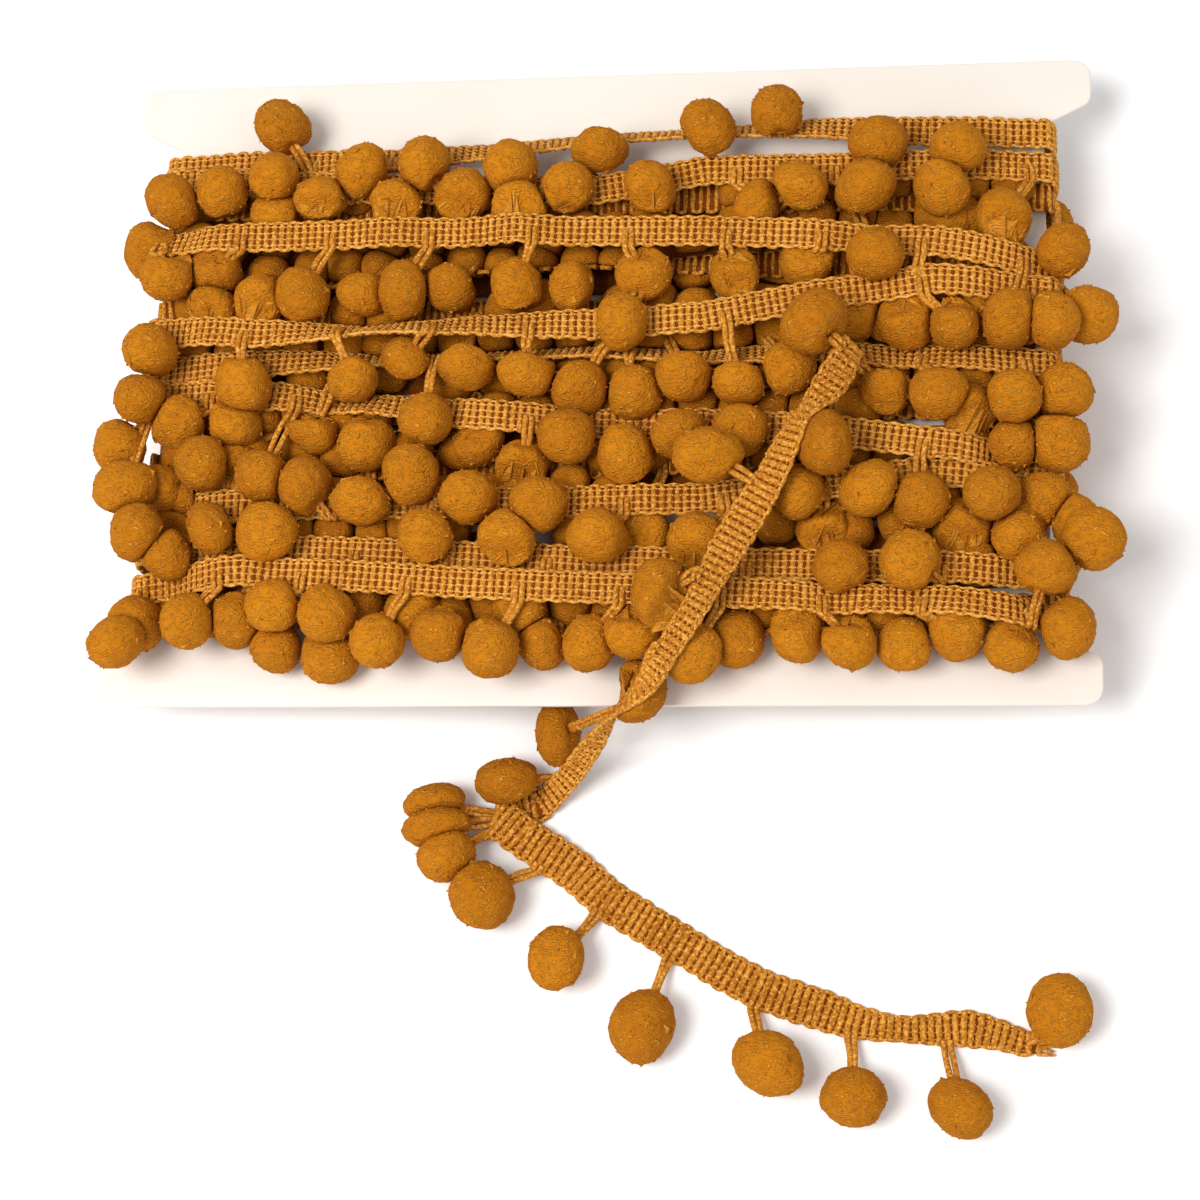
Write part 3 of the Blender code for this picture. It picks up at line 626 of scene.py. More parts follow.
fold_along = np.array((*fold_in, 0.0))
fold_start = np.array(LOOSE_ROUTE[-1][:3])
fold_rows = []
for share in np.linspace(0, 1, FOLD_STEPS):
    narrow = max(0.0, 1 - FOLD_EASE * share)
    fold_width = LOOSE_WIDTH + (LOOSE_ROUTE[-1][4] - LOOSE_WIDTH) * narrow
    flat_row = strip_across(fold_start + fold_along * FOLD_LENGTH * share, fold_along, 0.0,
                            fold_width)
    fold_rows.append(np.array([roll_over(place) for place in flat_row]))
fold_leave = fold_rows[-1][2]
down_rows = route_rows(smooth(LOOSE_ROUTE, ROUTE_STEPS))
table_rows = route_rows(smooth(((*fold_leave, 180.0, LOOSE_WIDTH),) + TABLE_ROUTE,
                               ROUTE_STEPS))
loose_strip = Strip(np.array(down_rows[:-1] + fold_rows + table_rows[1:]), LOOSE_WIDTH)

# Tape
# A narrow gimp braid. One thick soft yarn laid to and fro makes a rib at each pass and a
# small loop at each turn. Fine bright threads run along the face over the ribs and dip
# between them, and a soft cord runs along each edge through the loops.
RIB_PITCH = 1.57
RIB_HALF = 2.75
RIB_RADIUS = 0.65
RIB_BEADING = 0.07
LOOP_BULGE = 0.22
LOOP_RADIUS = 0.44
BEADS = 5
FACE_ROWS = (-0.73, -0.245, 0.245, 0.73)
FACE_RADIUS = 0.27
FACE_OVER = 0.58  # height of a face thread on a rib
FACE_DIP = 0.55  # how far it goes down between two
EDGE_RADIUS = 0.34
EDGE_WAVE = 0.20
EDGE_OUT = 0.15  # from the ends of the ribs to the middle of an edge cord
EDGE_PROUD = 0.12
ALONG_NOISE = 0.08  # unevenness of the weft
REACH_NOISE = 0.12
BEAD_NOISE = 0.05
PROUD_NOISE = 0.06
SWAY = 0.10
GROUND_THICKNESS = 0.2
GROUND_STEP = 2.4
HIDDEN_LEVEL = 5.1  # the tapes of turns this low are hardly seen
TAPE_COLOUR = (0.57, 0.230, 0.024)
TAPE_LIGHT = (0.79, 0.405, 0.082)
TAPE_DARK = (0.32, 0.100, 0.006)
FACE_COLOUR = (0.81, 0.43, 0.100)
# the ground is painted dark: a painted shade for the slits between the ribs, where little light
# reaches
GROUND_PAINTED_SHADE = (0.17, 0.038, 0.0012)
GROUND_PAINTED_SHADE_LIGHT = (0.24, 0.065, 0.003)


def yarn_material(name, colour, light, dark):
    """Soft spun acrylic with a slight lustre: streaks along the fibres, lighter and darker."""
    material, tree, shader, where = new_material(name, 0.7, 0.08)
    cloud = noise(tree, where, 90.0, Detail=2.0)
    fleck = noise(tree, where, 1700.0, Detail=3.0, Roughness=0.6)
    body = (cloud.steps(0.3, 0.7) * 0.4 + fleck.steps(0.35, 0.55) * 0.6).blend(dark, colour)
    colour = fleck.steps(0.50, 0.66).blend(body, light)
    finish_material(tree, shader, colour, fleck, 0.4, 0.00035)
    return material


yarn_tape = yarn_material("tape_yarn", TAPE_COLOUR, TAPE_LIGHT, TAPE_DARK)
yarn_face = yarn_material("face_thread", FACE_COLOUR, FACE_COLOUR, TAPE_COLOUR)
ground_painted_shade = yarn_material("tape_ground_painted_shade", GROUND_PAINTED_SHADE, GROUND_PAINTED_SHADE_LIGHT, GROUND_PAINTED_SHADE)


def yarn_piece(name, yarns, resolution, material):
    """A piece of round yarns, each through a list of points with its radii."""
    curve = bpy.data.curves.new(name, "CURVE")
    curve.dimensions = "3D"
    curve.bevel_depth = 1.0
    curve.bevel_resolution = resolution
    curve.use_fill_caps = True
    for points, radii in yarns:
        radii = np.broadcast_to(radii, len(points))
        spline = curve.splines.new("POLY")
        spline.points.add(len(points) - 1)
        raised = np.column_stack((points[:, :2], np.maximum(points[:, 2], radii)))
        flat = np.ones((len(points), 4))
        flat[:, :3] = placed(raised)
        spline.points.foreach_set("co", flat.ravel())
        spline.points.foreach_set("radius", radii * MM)
    holder = bpy.data.objects.new(name, curve)
    mesh = bpy.data.meshes.new_from_object(holder)
    bpy.data.objects.remove(holder)
    mesh.shade_smooth()
    return add_piece(name, mesh, material)


def weft(strip, start, end, half, radius, detailed, rng):
    """One yarn laid to and fro across the tape, from start to end along it."""
    places = []
    radii = []
    crossings = np.linspace(-1.0, 1.0, 2 * BEADS - 1 if detailed else 3)
    turning = ((0.15, 0.8), (0.5, 1.0), (0.85, 0.8)) if detailed else ((0.5, 1.0),)
    for rib in range(int((end - start) / RIB_PITCH)):
        side = 1 - 2 * (rib % 2)
        along = start + RIB_PITCH * rib + rng.uniform(-ALONG_NOISE, ALONG_NOISE)
        reach = half + rng.uniform(-REACH_NOISE, REACH_NOISE)
        for number, share in enumerate(crossings):
            beading = 1 + RIB_BEADING * (1 if number % 2 else -1)
            places.append((along + rng.uniform(-BEAD_NOISE, BEAD_NOISE),
                           side * share * reach, rng.uniform(-PROUD_NOISE, PROUD_NOISE)))
            radii.append(radius * beading * rng.uniform(0.95, 1.05))
        bulge = LOOP_BULGE * rng.uniform(0.6, 1.5)
        for ahead, out in turning:
            places.append((along + ahead * RIB_PITCH, side * (reach + out * bulge), 0.0))
            radii.append(LOOP_RADIUS)
    return strip.at(*np.array(places).T), np.array(radii)


def face_threads(strip, start, end, half, rng):
    """Threads along the face of the tape, over each rib and down between it and the next."""
    result = []
    count = 2 * int((end - start) / RIB_PITCH)
    along = start + np.arange(count) * RIB_PITCH / 2
    proud = FACE_OVER - FACE_DIP * (np.arange(count) % 2)
    for row in FACE_ROWS:
        sway = np.array([rng.uniform(-SWAY, SWAY) for _ in along])
        result.append((strip.at(along, half * row + sway, proud), FACE_RADIUS))
    return result


def edge_cords(strip, start, end, half):
    """The soft cord along each edge, drawn out where the weft turns round it."""
    result = []
    count = 2 * int((end - start) / RIB_PITCH)
    ribs = np.arange(count) / 2
    for side in (-1, 1):
        out = half + EDGE_OUT + side * EDGE_WAVE * np.sin(math.pi * ribs)
        places = strip.at(start + ribs * RIB_PITCH, side * out, np.full(count, EDGE_PROUD))
        result.append((places, EDGE_RADIUS))
    return result


def ground_piece(name, spans, half):
    """The thin woven ground among the yarns, a sheet laid along each span of tape, its dark colour
    a painted shade for the slits between the ribs.
    """
    bm = bmesh.new()
    for strip, start, end in spans:
        count = int((end - start) / GROUND_STEP)
        made = bmesh.ops.create_grid(bm, x_segments=count, y_segments=2, size=0.5)
        grid = np.array([vert.co for vert in made["verts"]])
        points = placed(strip.at(start + (grid[:, 0] + 0.5) * (end - start),
                                 grid[:, 1] * 2 * half,
                                 np.full(len(grid), GROUND_THICKNESS / 2)))
        for vert, point in zip(made["verts"], points):
            vert.co = point
    bmesh.ops.solidify(bm, geom=bm.faces[:], thickness=-GROUND_THICKNESS * MM)
    bmesh.ops.recalc_face_normals(bm, faces=bm.faces)
    mesh = mesh_of(name, bm)
    mesh.shade_smooth()
    return add_piece(name, mesh, ground_painted_shade)


rng = random.Random(SEED + 2)
front_spans = []
back_spans = []
for strip in wound_strips:
    middle = strip.rows[:, 1]
    on_front = strip.along[(middle[:, 2] > CARD_BASE) | (abs(middle[:, 0]) > WAIST_HALF)]
    first, last = on_front.min(), on_front.max()
    front_spans.append((strip, first, last))
    back_spans += [(strip, 0.0, first), (strip, last, strip.along[-1])]

plain = [turn["level"] < HIDDEN_LEVEL for turn in turns]
seen_spans = [span for span, low in zip(front_spans, plain) if not low]
hidden_spans = [span for span, low in zip(front_spans, plain) if low]
winding_pieces = []
for name, spans in (("upper_ribs", seen_spans[:5]), ("lower_ribs", seen_spans[5:])):
    yarns = [weft(*span, RIB_HALF, RIB_RADIUS, True, rng) for span in spans]
    winding_pieces.append(yarn_piece(name, yarns, 1, yarn_tape))
face_yarns = []
for span in seen_spans:
    face_yarns += face_threads(*span, RIB_HALF, rng) + edge_cords(*span, RIB_HALF)
winding_pieces.append(yarn_piece("front_face", face_yarns, 0, yarn_face))
inner_yarns = [weft(*span, RIB_HALF, RIB_RADIUS, False, rng)
               for span in hidden_spans + back_spans]
winding_pieces.append(yarn_piece("inner_ribs", inner_yarns, 0, yarn_tape))
whole_turns = [(strip, 0.0, strip.along[-1]) for strip in wound_strips]
winding_pieces.append(ground_piece("winding_ground", whole_turns + inner_spans(), RIB_HALF))

# Pompoms
# Balls of brushed acrylic, cut from a thick rope of yarn and fluffed. In the winding they
# are pressed against each other, the tapes and the card, and are flat where they touch.
WOOL_COLOUR = (0.535, 0.188, 0.0065)
WOOL_LIGHT = (0.76, 0.345, 0.045)
WOOL_DARK = (0.29, 0.082, 0.002)
FIBRES = 150
FIBRE_LENGTH = 1.0
FIBRE_RADIUS = 0.12
FIBRE_RISE = (8, 32)  # degrees that the fibres stand off the ball
FIBRE_ROOT = 0.3
FIBRE_BEND = 0.0016
STROKE_FINENESS = (520.0, 1500.0, 1500.0)
STROKE_WAYS = ((0.3, 0.2, 0.5), (1.2, 0.9, 2.2), (2.1, 0.5, 1.1), (0.8, 2.0, 2.9))
WAVES = ((5, 1.6), (8, 5.0))  # slow and quick waves of a ball's surface
WAVE_DEPTH = 0.032
GRAIN = 0.013
OVALS = ((-0.20, -0.03), (-0.07, 0.11))
SOFTNESS = 0.5
TOUCHING = 1.08  # pompoms press each other within this share of both radii
CLEARING_REACH = 16.0
CLEARING_LIMIT = 4.5
DIMPLE_DEPTH = 1.1
TAPE_MARGIN = 0.8
EVENING_ROUNDS = 5
SHOULDER = 3.4  # radius that wool swells to beside a tape across it
FRONT_SHADE = 0.75  # brightness of the wool
# the buried pompoms are painted darker: a painted shade for their depth in the gaps
BURIED_PAINTED_SHADE = 0.3
BALL_FLOOR = 0.3  # least height of a front pompom above the card
CARD_REACH = 67.0  # the card lies under pompoms this near its middle
THREAD_LENGTH = 7.0  # from a tape's lower edge to the middle of a pompom
BACK_LOW = (-91.0, -56.0, 4.8)  # between these the back pompoms lie
BACK_HIGH = (91.0, 52.0, 8.5)
BACK_SEEN = (82.0, -46.0)  # beyond these they show past the rest
BACK_ROOT = 11.0
BACK_GAP = 0.5  # from the tops of the back pompoms to the card
SPREADING_ROUNDS = 60
BURIED_RADIUS = 4.8
BURIED_PITCH = 8.0
BURIED_CLEAR = 3.0  # none lies straight below a pompom of the front


def wool_material(name, colour, light, dark):
    """Brushed cut fibres: matt, with short raised strokes painted lighter as a painted highlight,
    and a shade of each ball's own, which on the buried balls is a painted shade.
    """
    material, tree, shader, where = new_material(name, 0.95, 0.08)
    shade = put(tree, "ShaderNodeAttribute", {"attribute_name": "shade"}, {}, output=2)
    fibre_light = put(tree, "ShaderNodeAttribute", {"attribute_name": "light"}, {}, output=2)
    bend = noise(tree, where, 500.0, output=1)
    swept = put(tree, "ShaderNodeVectorMath", {"operation": "MULTIPLY_ADD"},
                {0: bend, 1: (FIBRE_BEND,) * 3, 2: where})
    fibre = noise(tree, swept, 2300.0, Detail=1.0, Roughness=0.6)
    tuft = noise(tree, where, 450.0, Detail=2.0)
    strokes = 0
    for way in STROKE_WAYS:
        laid = put(tree, "ShaderNodeMapping", {}, {"Vector": swept, "Rotation": way,
                                                   "Scale": STROKE_FINENESS})
        apart = put(tree, "ShaderNodeTexVoronoi", {}, {"Vector": laid, "Scale": 1.0})
        strokes = (1 - apart.steps(0.10, 0.34)) + strokes
    strokes = strokes.math("MINIMUM", 1.0)
    body = (shade * 0.8 + tuft.steps(0.35, 0.65) * 0.2).blend(dark, colour)
    # the raised strokes are painted lighter: a painted highlight where their fibres catch the
    # light
    colour = (strokes * 0.42 + fibre.steps(0.50, 0.72) * 0.10 + fibre_light).blend(body, light)
    finish_material(tree, shader, colour, strokes * 0.75 + fibre * 0.2 + tuft * 0.7, 0.8, 0.0006)
    return material


def turned_randomly(directions):
    """Directions turned by a random rotation."""
    axes, _ = np.linalg.qr(draw.normal(size=(3, 3)))
    return directions @ (axes * np.sign(np.linalg.det(axes))).T


def fluffed(directions, radius, stretch):
    """A pompom's own shape: oval, uneven, with small tufts."""
    length = np.full(len(directions), radius)
    for waves, finest in WAVES:
        for _ in range(waves):
            way = draw.normal(size=3) * finest
            wave = np.sin(directions @ way + draw.uniform(0, 6))
            length = length * (1 + WAVE_DEPTH / finest * wave)
    length = length * (1 + GRAIN * draw.normal(size=len(directions)).clip(-2, 2))
    points = directions * length[:, None]
    for low, high in OVALS:
        axis = draw.normal(size=3)
        axis /= norm(axis)
        points = points + axis * ((points @ axis) * draw.uniform(low, high))[:, None]
    return points * stretch


def soft_limit(values, limit):
    """Values held under a limit, with a soft knee."""
    over = (values - limit) / SOFTNESS
    return values - SOFTNESS * np.logaddexp(0.0, over)


def press(points, centre, radius, others, other_radii):
    """Flatten a pompom where its neighbours touch it."""
    away = others - centre
    distance = norm(away, axis=1)
    near = (distance > 0.1) & (distance < TOUCHING * (other_radii + radius))
    for way, gap, other in zip(away[near], distance[near], other_radii[near]):
        way = way / gap
        depth = points @ way
        limit = gap * radius / (radius + other)
        points = points + way * (soft_limit(depth, limit) - depth)[:, None]
    return points


def clear_tapes(points, centre, strips):
    """Hold a pompom's wool under or over each tape that crosses it."""
    for strip in strips:
        column_across = strip.rows.shape[1] // 2
        middle = strip.rows[:, column_across]
        reachable = norm(middle - centre, axis=1) < CLEARING_REACH
        if not reachable.any():
            continue
        middle = middle[reachable]
        normals = strip.normals[reachable, column_across]
        wide = strip.wide[reachable, column_across]
        widths = norm(strip.rows[reachable, -1] - strip.rows[reachable, 0], axis=1)
        nearest = norm(middle - centre, axis=1).argmin()
        side = np.sign((centre - middle[nearest]) @ normals[nearest]) or 1.0
        offsets = points[:, None, :] - middle[None, :, :]
        closest = norm(offsets, axis=2).argmin(axis=1)
        offset = offsets[np.arange(len(points)), closest]
        normal = normals[closest] * side
        height = (offset * normal).sum(axis=1)
        across = (offset * wide[closest]).sum(axis=1)
        flat = offset - normal * height[:, None] - wide[closest] * across[:, None]
        beside = np.hypot(np.maximum(abs(across) - widths[closest] / 2, 0.0),
                          norm(flat, axis=1))
        need = TAPE_MARGIN - beside ** 2 / (2 * SHOULDER)
        fade = np.clip(3.6 - beside, 0.0, 1.0)
        move = np.clip(need - height, 0.0, CLEARING_LIMIT) * fade
        points = points + normal * move[:, None]
    return points


def dimple(points, centre, root):
    """Draw a pompom in where its two threads are tied."""
    way = root - centre
    distance = norm(way)
    way = way / max(distance, 0.1)
    length = norm(points - centre, axis=1, keepdims=True)
    nearness = ((points - centre) @ way)[:, None] / np.maximum(length, 0.1)
    return points - way * DIMPLE_DEPTH * np.clip((nearness - 0.86) / 0.14, 0.0, 1.0) ** 2


def even_out(moves, edges):
    """Share each place's move with the places beside it."""
    ends = np.concatenate((edges, edges[:, ::-1]))
    beside = np.bincount(ends[:, 0], minlength=len(moves))[:, None]
    for _ in range(EVENING_ROUNDS):
        shared = np.zeros_like(moves)
        np.add.at(shared, ends[:, 0], moves[ends[:, 1]])
        moves = (moves + shared / beside) / 2
    return moves


def pompom_points(ways, edges, ball, neighbours, radii, strips, floor):
    """One pompom's places, pressed by what it touches. A ball is its centre, its radius,
    its stretch along x, y and z, and the place that it hangs from."""
    centre, radius, stretch, root = ball
    points = centre + press(fluffed(turned_randomly(ways), radius, stretch), centre, radius,
                            neighbours, radii)
    points = points + even_out(clear_tapes(points, centre, strips) - points, edges)
    points = dimple(points, centre, root)
    points[:, 2] = -soft_limit(-points[:, 2], -floor)
    points[:, 2] = np.maximum(points[:, 2], floor - 0.3 if floor > 1 else 0.0)
    return points


def fluffy_ball(detail, fibres):
    """A ball of small triangles and its loose fibres, each a slender cone, not yet shaped."""
    bm = bmesh.new()
    bmesh.ops.create_icosphere(bm, subdivisions=detail, radius=1.0)
    for face in bm.faces:
        face.smooth = True
    ball_count = len(bm.verts)
    for _ in range(fibres):
        bmesh.ops.create_cone(bm, cap_ends=True, segments=3, radius1=1.0, radius2=0.0,
                              depth=1.0)
    mesh = mesh_of("ball", bm)
    ways = np.array([vert.co for vert in mesh.vertices[:ball_count]])
    corners = np.array([face.vertices[:] for face in mesh.polygons
                        if face.vertices[0] < ball_count])
    edges = np.array([edge.vertices[:] for edge in mesh.edges
                      if edge.vertices[0] < ball_count])
    return mesh, ways, corners, edges


def fibre_points(points, corners, count):
    """Fibres rooted all over a pompom and leaning along it: three places at the root of
    each, and its tip."""
    chosen = corners[draw.integers(0, len(corners), count)]
    first, second, third = (points[corner] for corner in chosen.T)
    shares = draw.dirichlet((1.0, 1.0, 1.0), count)
    roots = first * shares[:, :1] + second * shares[:, 1:2] + third * shares[:, 2:]
    outward = np.cross(second - first, third - first)
    outward /= norm(outward, axis=1, keepdims=True) + 1e-9
    along = np.cross(outward, draw.normal(size=(count, 3)))
    along /= norm(along, axis=1, keepdims=True) + 1e-9
    rise = np.radians(draw.uniform(*FIBRE_RISE, count))[:, None]
    way = along * np.cos(rise) + outward * np.sin(rise)
    beside = np.cross(way, outward)
    beside /= norm(beside, axis=1, keepdims=True) + 1e-9
    above = np.cross(beside, way)
    roots = roots - way * FIBRE_ROOT
    angles = np.radians((90, 210, 330))
    base = [roots + FIBRE_RADIUS * (beside * math.cos(angle) + above * math.sin(angle))
            for angle in angles]
    tips = roots + way * (FIBRE_LENGTH * draw.uniform(0.6, 1.3, count))[:, None]
    return np.stack((*base, tips), axis=1).reshape(-1, 3)


def wool_piece(name, pompoms):
    """A piece of many pompoms: fluffy balls, each shaped by what it touches."""
    bm = bmesh.new()
    places = []
    shades = []
    lights = []
    for kind, brightness, *rest in pompoms:
        template, ways, corners, edges = BALLS[kind]
        bm.from_mesh(template)
        points = pompom_points(ways, edges, *rest)
        count = (len(template.vertices) - len(ways)) // 4
        fibres = fibre_points(points, corners, count)
        fibres[:, 2] = np.maximum(fibres[:, 2], 0.0)
        places += [points, fibres]
        shade = brightness + 0.25 * draw.uniform(-1, 1)
        shades += [shade + 0.06 * draw.normal(size=len(ways)),
                   np.repeat(shade + draw.uniform(-0.3, 0.25, count), 4)]
        lights += [np.zeros(len(ways)), np.repeat(draw.uniform(0.0, 0.6, count), 4)]
    mesh = mesh_of(name, bm)
    mesh.vertices.foreach_set("co", placed(np.concatenate(places)).ravel())
    for attribute, values in (("shade", shades), ("light", lights)):
        layer = mesh.attributes.new(attribute, "FLOAT", "POINT")
        layer.data.foreach_set("value", np.concatenate(values).clip(0.0, 1.0))
    mesh.update()
    return add_piece(name, mesh, wool)


BALLS = {"seen": fluffy_ball(4, FIBRES), "rim": fluffy_ball(3, FIBRES // 2),
         "hidden": fluffy_ball(3, 0)}
wool = wool_material("pompom_wool", WOOL_COLOUR, WOOL_LIGHT, WOOL_DARK)
draw = np.random.default_rng(SEED)
ROUND = np.ones(3)


def back_pompoms():
    """Roots and centres of the pompoms on the back, spread over the table."""
    found = []
    for number, turn in enumerate(turns):
        x = -WAIST_HALF + (0.2 + 0.37 * (number % 3)) * PITCH
        while x < WAIST_HALF:
            lean = rng.uniform(-0.6, 0.6)
            y = column(turn["y"][::-1], x) - TAPE_WIDTH / 2
            found.append((x + THREAD_LENGTH * math.sin(lean),
                          y - THREAD_LENGTH * math.cos(lean), rng.uniform(4.8, 6.8), x, number))
            x += PITCH
    return np.array(found)


def spread_flat(centres, radii):
    """Push pompoms on the table apart, mostly sideways."""
    for _ in range(SPREADING_ROUNDS):
        centres = centres + crowding(centres, radii, 0.88, 0.3) * (1.0, 1.0, 0.3)
        centres = centres.clip(BACK_LOW, BACK_HIGH)
    return centres


def buried_pompoms():
    """Pompoms of the lowest turns, which show only in the gaps, their wool painted darker as a
    painted shade.
    """
    found = []
    for y in np.arange(-49.0, 47.0, BURIED_PITCH):
        for x in np.arange(-84.0, 85.0, BURIED_PITCH):
            place = np.array((x + rng.uniform(-1.5, 1.5), y + rng.uniform(-1.5, 1.5)))
            clear = norm(front_centres[:, :2] - place, axis=1).min()
            bare = min(norm((place - spot) * (0.7, 1.0)) for spot in BARE_PLACES)
            if clear > BURIED_CLEAR and bare > BARE_REACH:
                found.append((*place, CARD_TOP + rng.uniform(3.4, 4.4)))
    return np.array(found)


behind = back_pompoms()
back_radii = np.array([BALL_RADIUS + rng.uniform(-1, 1) * BALL_SPREAD for _ in behind])
back_centres = spread_flat(behind[:, :3], back_radii)
buried_centres = buried_pompoms()
buried_radii = np.full(len(buried_centres), BURIED_RADIUS)

for name, wanted in (("upper_pompoms", hung[:, 4] < 7), ("lower_pompoms", hung[:, 4] >= 7)):
    pompoms = []
    for i in np.flatnonzero(wanted):
        root_y = column(turns[int(hung[i, 4])]["y"], hung[i, 3]) - TAPE_WIDTH / 2
        root = np.array((hung[i, 3], root_y, front_centres[i, 2]))
        floor = CARD_TOP + BALL_FLOOR if abs(front_centres[i, 1]) < CARD_REACH else 0.0
        pompoms.append(("seen", FRONT_SHADE, (front_centres[i], front_radii[i], ROUND, root),
                        front_centres, front_radii, wound_strips, floor))
    winding_pieces.append(wool_piece(name, pompoms))

pompoms = []
for centre, radius in zip(buried_centres, buried_radii):
    root = centre + (0, THREAD_LENGTH, 0)
    pompoms.append(("hidden", BURIED_PAINTED_SHADE, (centre, radius, ROUND, root), buried_centres,
                    buried_radii, wound_strips, CARD_TOP + BALL_FLOOR))
winding_pieces.append(wool_piece("buried_pompoms", pompoms))

pompoms = []
for i, centre in enumerate(back_centres):
    at_rim = abs(centre[0]) > BACK_SEEN[0] or centre[1] < BACK_SEEN[1]
    root = np.array((behind[i, 3], centre[1] + THREAD_LENGTH, BACK_ROOT))
    pompoms.append(("rim" if at_rim else "hidden", FRONT_SHADE,
                    (centre, back_radii[i], ROUND, root), back_centres, back_radii, [], 0.0))
back_piece = wool_piece("back_pompoms", pompoms)
heights = np.array([vert.co.z for vert in back_piece.data.vertices]) / MM
for vert, height in zip(back_piece.data.vertices, soft_limit(heights, CARD_BASE - BACK_GAP)):
    vert.co.z = height * MM
winding_pieces.append(back_piece)

# Threads of the winding
# Each pompom hangs by two soft strands, side by side. They come out between the ribs at
# the tape's middle, pass over its lower edge and go in at the dimple of the ball.
STRAND_RADIUS = 0.61
STRAND_GAP = 0.62  # half the distance between the two strands
STRAND_DEPTH = 2.2  # how far a strand goes into the ball
STRAND_BOW = 0.4


def thread_pair(starts, centre, radius, rng):
    """The two strands of a pompom, from their starts on the tape into the ball."""
    first, second = (start[-1] for start in starts)
    middle = (first + second) / 2
    way = centre - middle
    way = way / max(norm(way), 0.1)
    beside = second - first
    beside = beside - way * (beside @ way)
    beside = beside / max(norm(beside), 0.01)
    into = centre - way * (radius - STRAND_DEPTH)
    result = []
    for side, start in zip((-1, 1), starts):
        bow = rng.uniform(-STRAND_BOW, STRAND_BOW)
        free = []
        for t in (0.35, 0.7, 1.0):
            line = middle + (into - middle) * t
            free.append(line + beside * (side * STRAND_GAP * (1 - 0.25 * t)
                        + bow * math.sin(math.pi * t)) + (0, 0, 0.5 * math.sin(math.pi * t)))
        result.append((smooth(np.vstack((start, free)), 3), STRAND_RADIUS))
    return result


thread_yarns = []
edge = -TAPE_WIDTH / 2
for i, (_, _, _, x, number) in enumerate(hung):
    strip = wound_strips[int(number)]
    middle = strip.rows[:, 1]
    on_front = np.flatnonzero(middle[:, 2] > CARD_TOP)
    here = strip.along[on_front[abs(middle[on_front, 0] - x).argmin()]]
    starts = [strip.at(here + np.full(3, side * STRAND_GAP), (0.0, 0.45 * edge, 0.95 * edge),
                       (0.45, 0.95, 0.85)) for side in (-1, 1)]
    thread_yarns += thread_pair(starts, front_centres[i], front_radii[i], rng)
winding_pieces.append(yarn_piece("winding_threads", thread_yarns, 1, yarn_tape))
for piece in winding_pieces:
    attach(piece, "root")
    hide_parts("winding")

# Loose end
# The same trim with nothing pulling at it: the braid is wider, its yarn is fluffier, and
# the pompoms are full round half-inch balls on threads of their own length.
LOOSE_RIB_HALF = 3.65
LOOSE_RIB_RADIUS = 0.72
LOOSE_START = 0.3
LOOSE_END_CUT = 0.6
FRAY_YARNS = 9
FRAY_LENGTH = 2.6
FRAY_ROOT = 0.8  # how far back from the cut a frayed yarn comes free
FRAY_RADII = (0.45, 0.40, 0.22)
LOOSE_SHADE = 0.6
CLEAR_OF_CARD = 12.0  # pompoms higher than this may touch the winding's tapes
FOLD_CORNER = (-14.6, -84.6, 2.0, 5.0)  # the folded corner, which flattens a pompom beside it
# root along and across the tape, the pompom's centre, and its half width and height
LOOSE_BALLS = (
    (2.0, 4.7, 45.4, 3.2, 38.0, 6.7, 6.9),
    (18.5, 4.7, 47.0, -20.5, 35.0, 6.3, 6.6),
    (33.5, 4.7, 25.0, -23.1, 36.8, 7.0, 5.6),
    (54.5, 4.7, 16.6, -51.1, 35.8, 5.8, 7.2),
    (71.0, 4.7, 10.8, -66.1, 22.0, 6.0, 6.4),
    (91.0, 4.7, -7.0, -71.4, 7.2, 4.4, 7.0),
    (115.0, -4.7, -16.9, -80.9, 6.1, 6.5, 4.9),
    (129.0, 0.4, -31.8, -85.1, 5.0, 6.6, 4.3),
    (129.0, 1.5, -30.7, -90.4, 6.2, 7.1, 4.5),
    (129.0, 3.6, -28.3, -95.9, 7.0, 6.3, 6.0),
    (143.5, 4.7, -21.1, -103.7, 6.6, 6.6, 7.4),
    (158.8, 4.7, -5.9, -116.1, 6.3, 6.1, 6.4),
    (175.4, 4.7, 11.3, -129.1, 6.3, 6.4, 8.0),
    (194.2, 4.7, 35.6, -135.9, 6.3, 7.3, 6.7),
    (213.3, 4.7, 51.9, -141.7, 6.0, 6.4, 5.7),
    (230.8, 4.7, 72.3, -143.6, 6.2, 6.6, 6.1),
    (247.5, -1.0, 91.2, -125.2, 6.4, 6.4, 7.0),
)

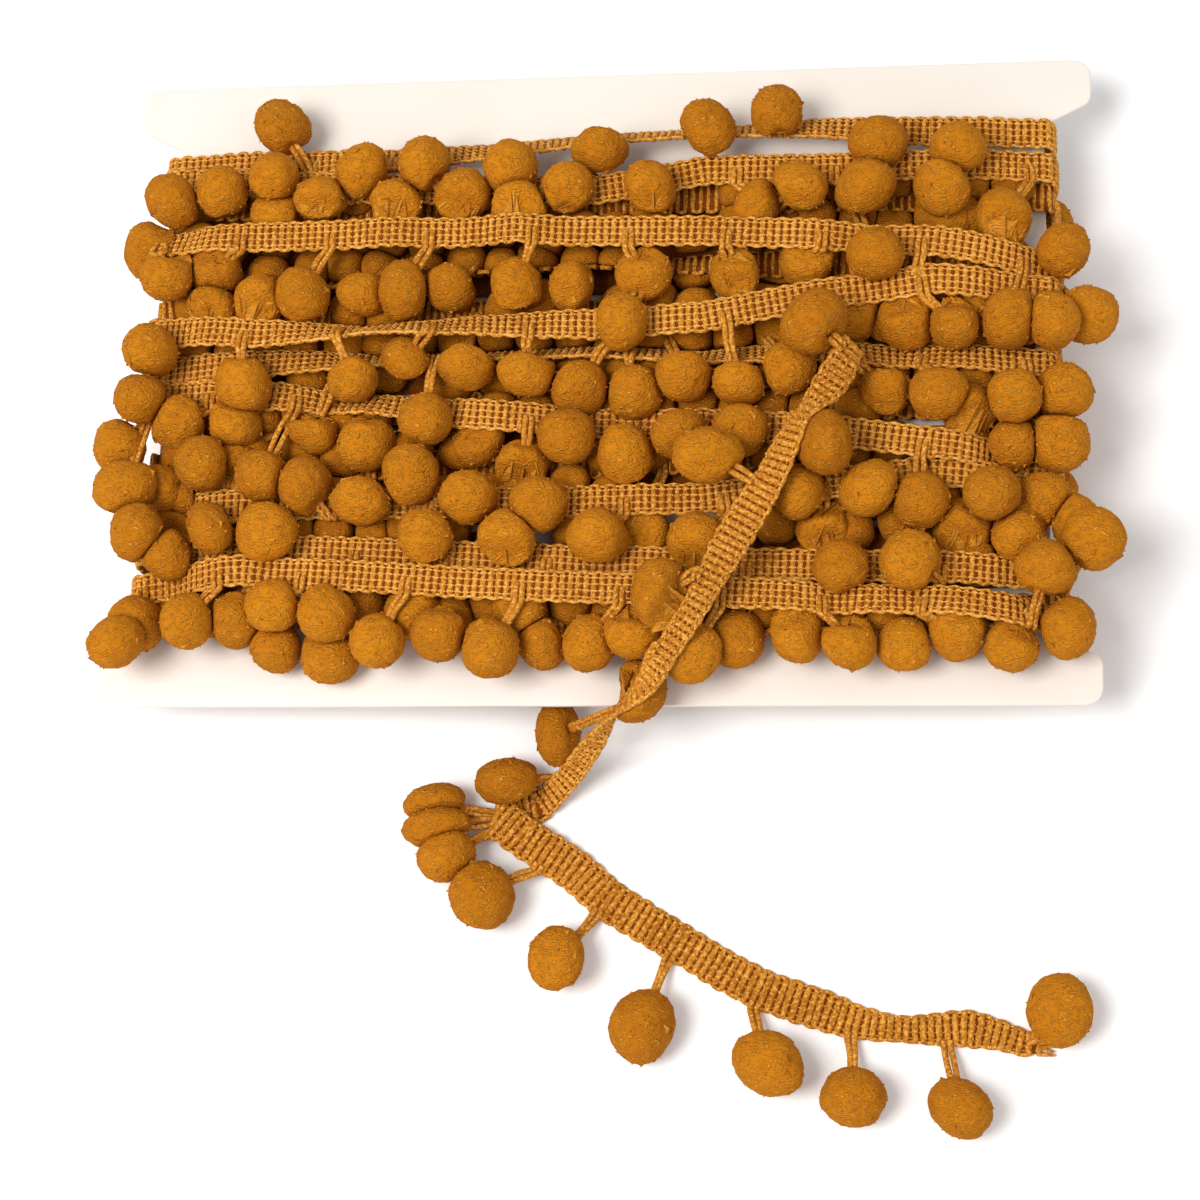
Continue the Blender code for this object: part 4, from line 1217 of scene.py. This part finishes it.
loose_length = loose_strip.along[-1] - LOOSE_END_CUT
loose_span = (loose_strip, LOOSE_START, loose_length)
loose_sheet = ground_piece("loose_ground", [loose_span], LOOSE_RIB_HALF)
loose_yarns = [weft(*loose_span, LOOSE_RIB_HALF, LOOSE_RIB_RADIUS, True, rng)]
loose_face = (face_threads(*loose_span, LOOSE_RIB_HALF, rng)
              + edge_cords(*loose_span, LOOSE_RIB_HALF))
end_way = loose_strip.rows[-1, 2] - loose_strip.rows[-4, 2]
end_way /= norm(end_way)
for number in range(FRAY_YARNS):
    across = LOOSE_RIB_HALF * (2 * number / (FRAY_YARNS - 1) - 1)
    root = loose_strip.at(np.array([loose_length - FRAY_ROOT]), [across], [0.1])[0]
    tip = root + end_way * (FRAY_ROOT + FRAY_LENGTH * rng.uniform(0.5, 1.0))
    tip += np.array((rng.uniform(-0.6, 0.6), rng.uniform(-1.2, 1.2), rng.uniform(-0.2, 0.9)))
    loose_yarns.append((np.array((root, (root + tip) / 2 + (0, 0, 0.3), tip)),
                        np.array(FRAY_RADII)))
loose_threads = []
pompoms = []
loose_centres = np.array([row[2:5] for row in LOOSE_BALLS])
loose_radii = np.array([(row[5] + row[6]) / 2 for row in LOOSE_BALLS])
all_centres = np.vstack((front_centres, loose_centres, [FOLD_CORNER[:3]]))
all_radii = np.concatenate((front_radii, loose_radii, [FOLD_CORNER[3]]))
for (along, across, _, _, z, wide, high), centre, radius in zip(LOOSE_BALLS, loose_centres,
                                                                loose_radii):
    root = loose_strip.at(np.array([along]), [across], [0.0])[0]
    stretch = np.array((wide / radius, high / radius, 1.0))
    crossed = wound_strips + [loose_strip] if z > CLEAR_OF_CARD else []
    pompoms.append(("seen", LOOSE_SHADE, (centre, radius, stretch, root), all_centres,
                    all_radii, crossed, 0.0))
    if abs(across) > 4:
        starts = [loose_strip.at(along + np.full(2, side * STRAND_GAP),
                                 (0.6 * across, 0.95 * across), (-0.7, -0.7))
                  for side in (-1, 1)]
    else:
        starts = [loose_strip.at(np.full(1, along), [across + side * STRAND_GAP], [0.0])
                  for side in (-1, 1)]
    loose_threads += thread_pair(starts, centre, radius, rng)
loose_pieces = [
    yarn_piece("loose_ribs", loose_yarns, 1, yarn_tape),
    yarn_piece("loose_face", loose_face, 0, yarn_face),
    yarn_piece("loose_threads", loose_threads, 1, yarn_tape),
    wool_piece("loose_pompoms", pompoms),
]
for piece in [loose_sheet] + loose_pieces:
    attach(piece, "root")
    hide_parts("loose_end")
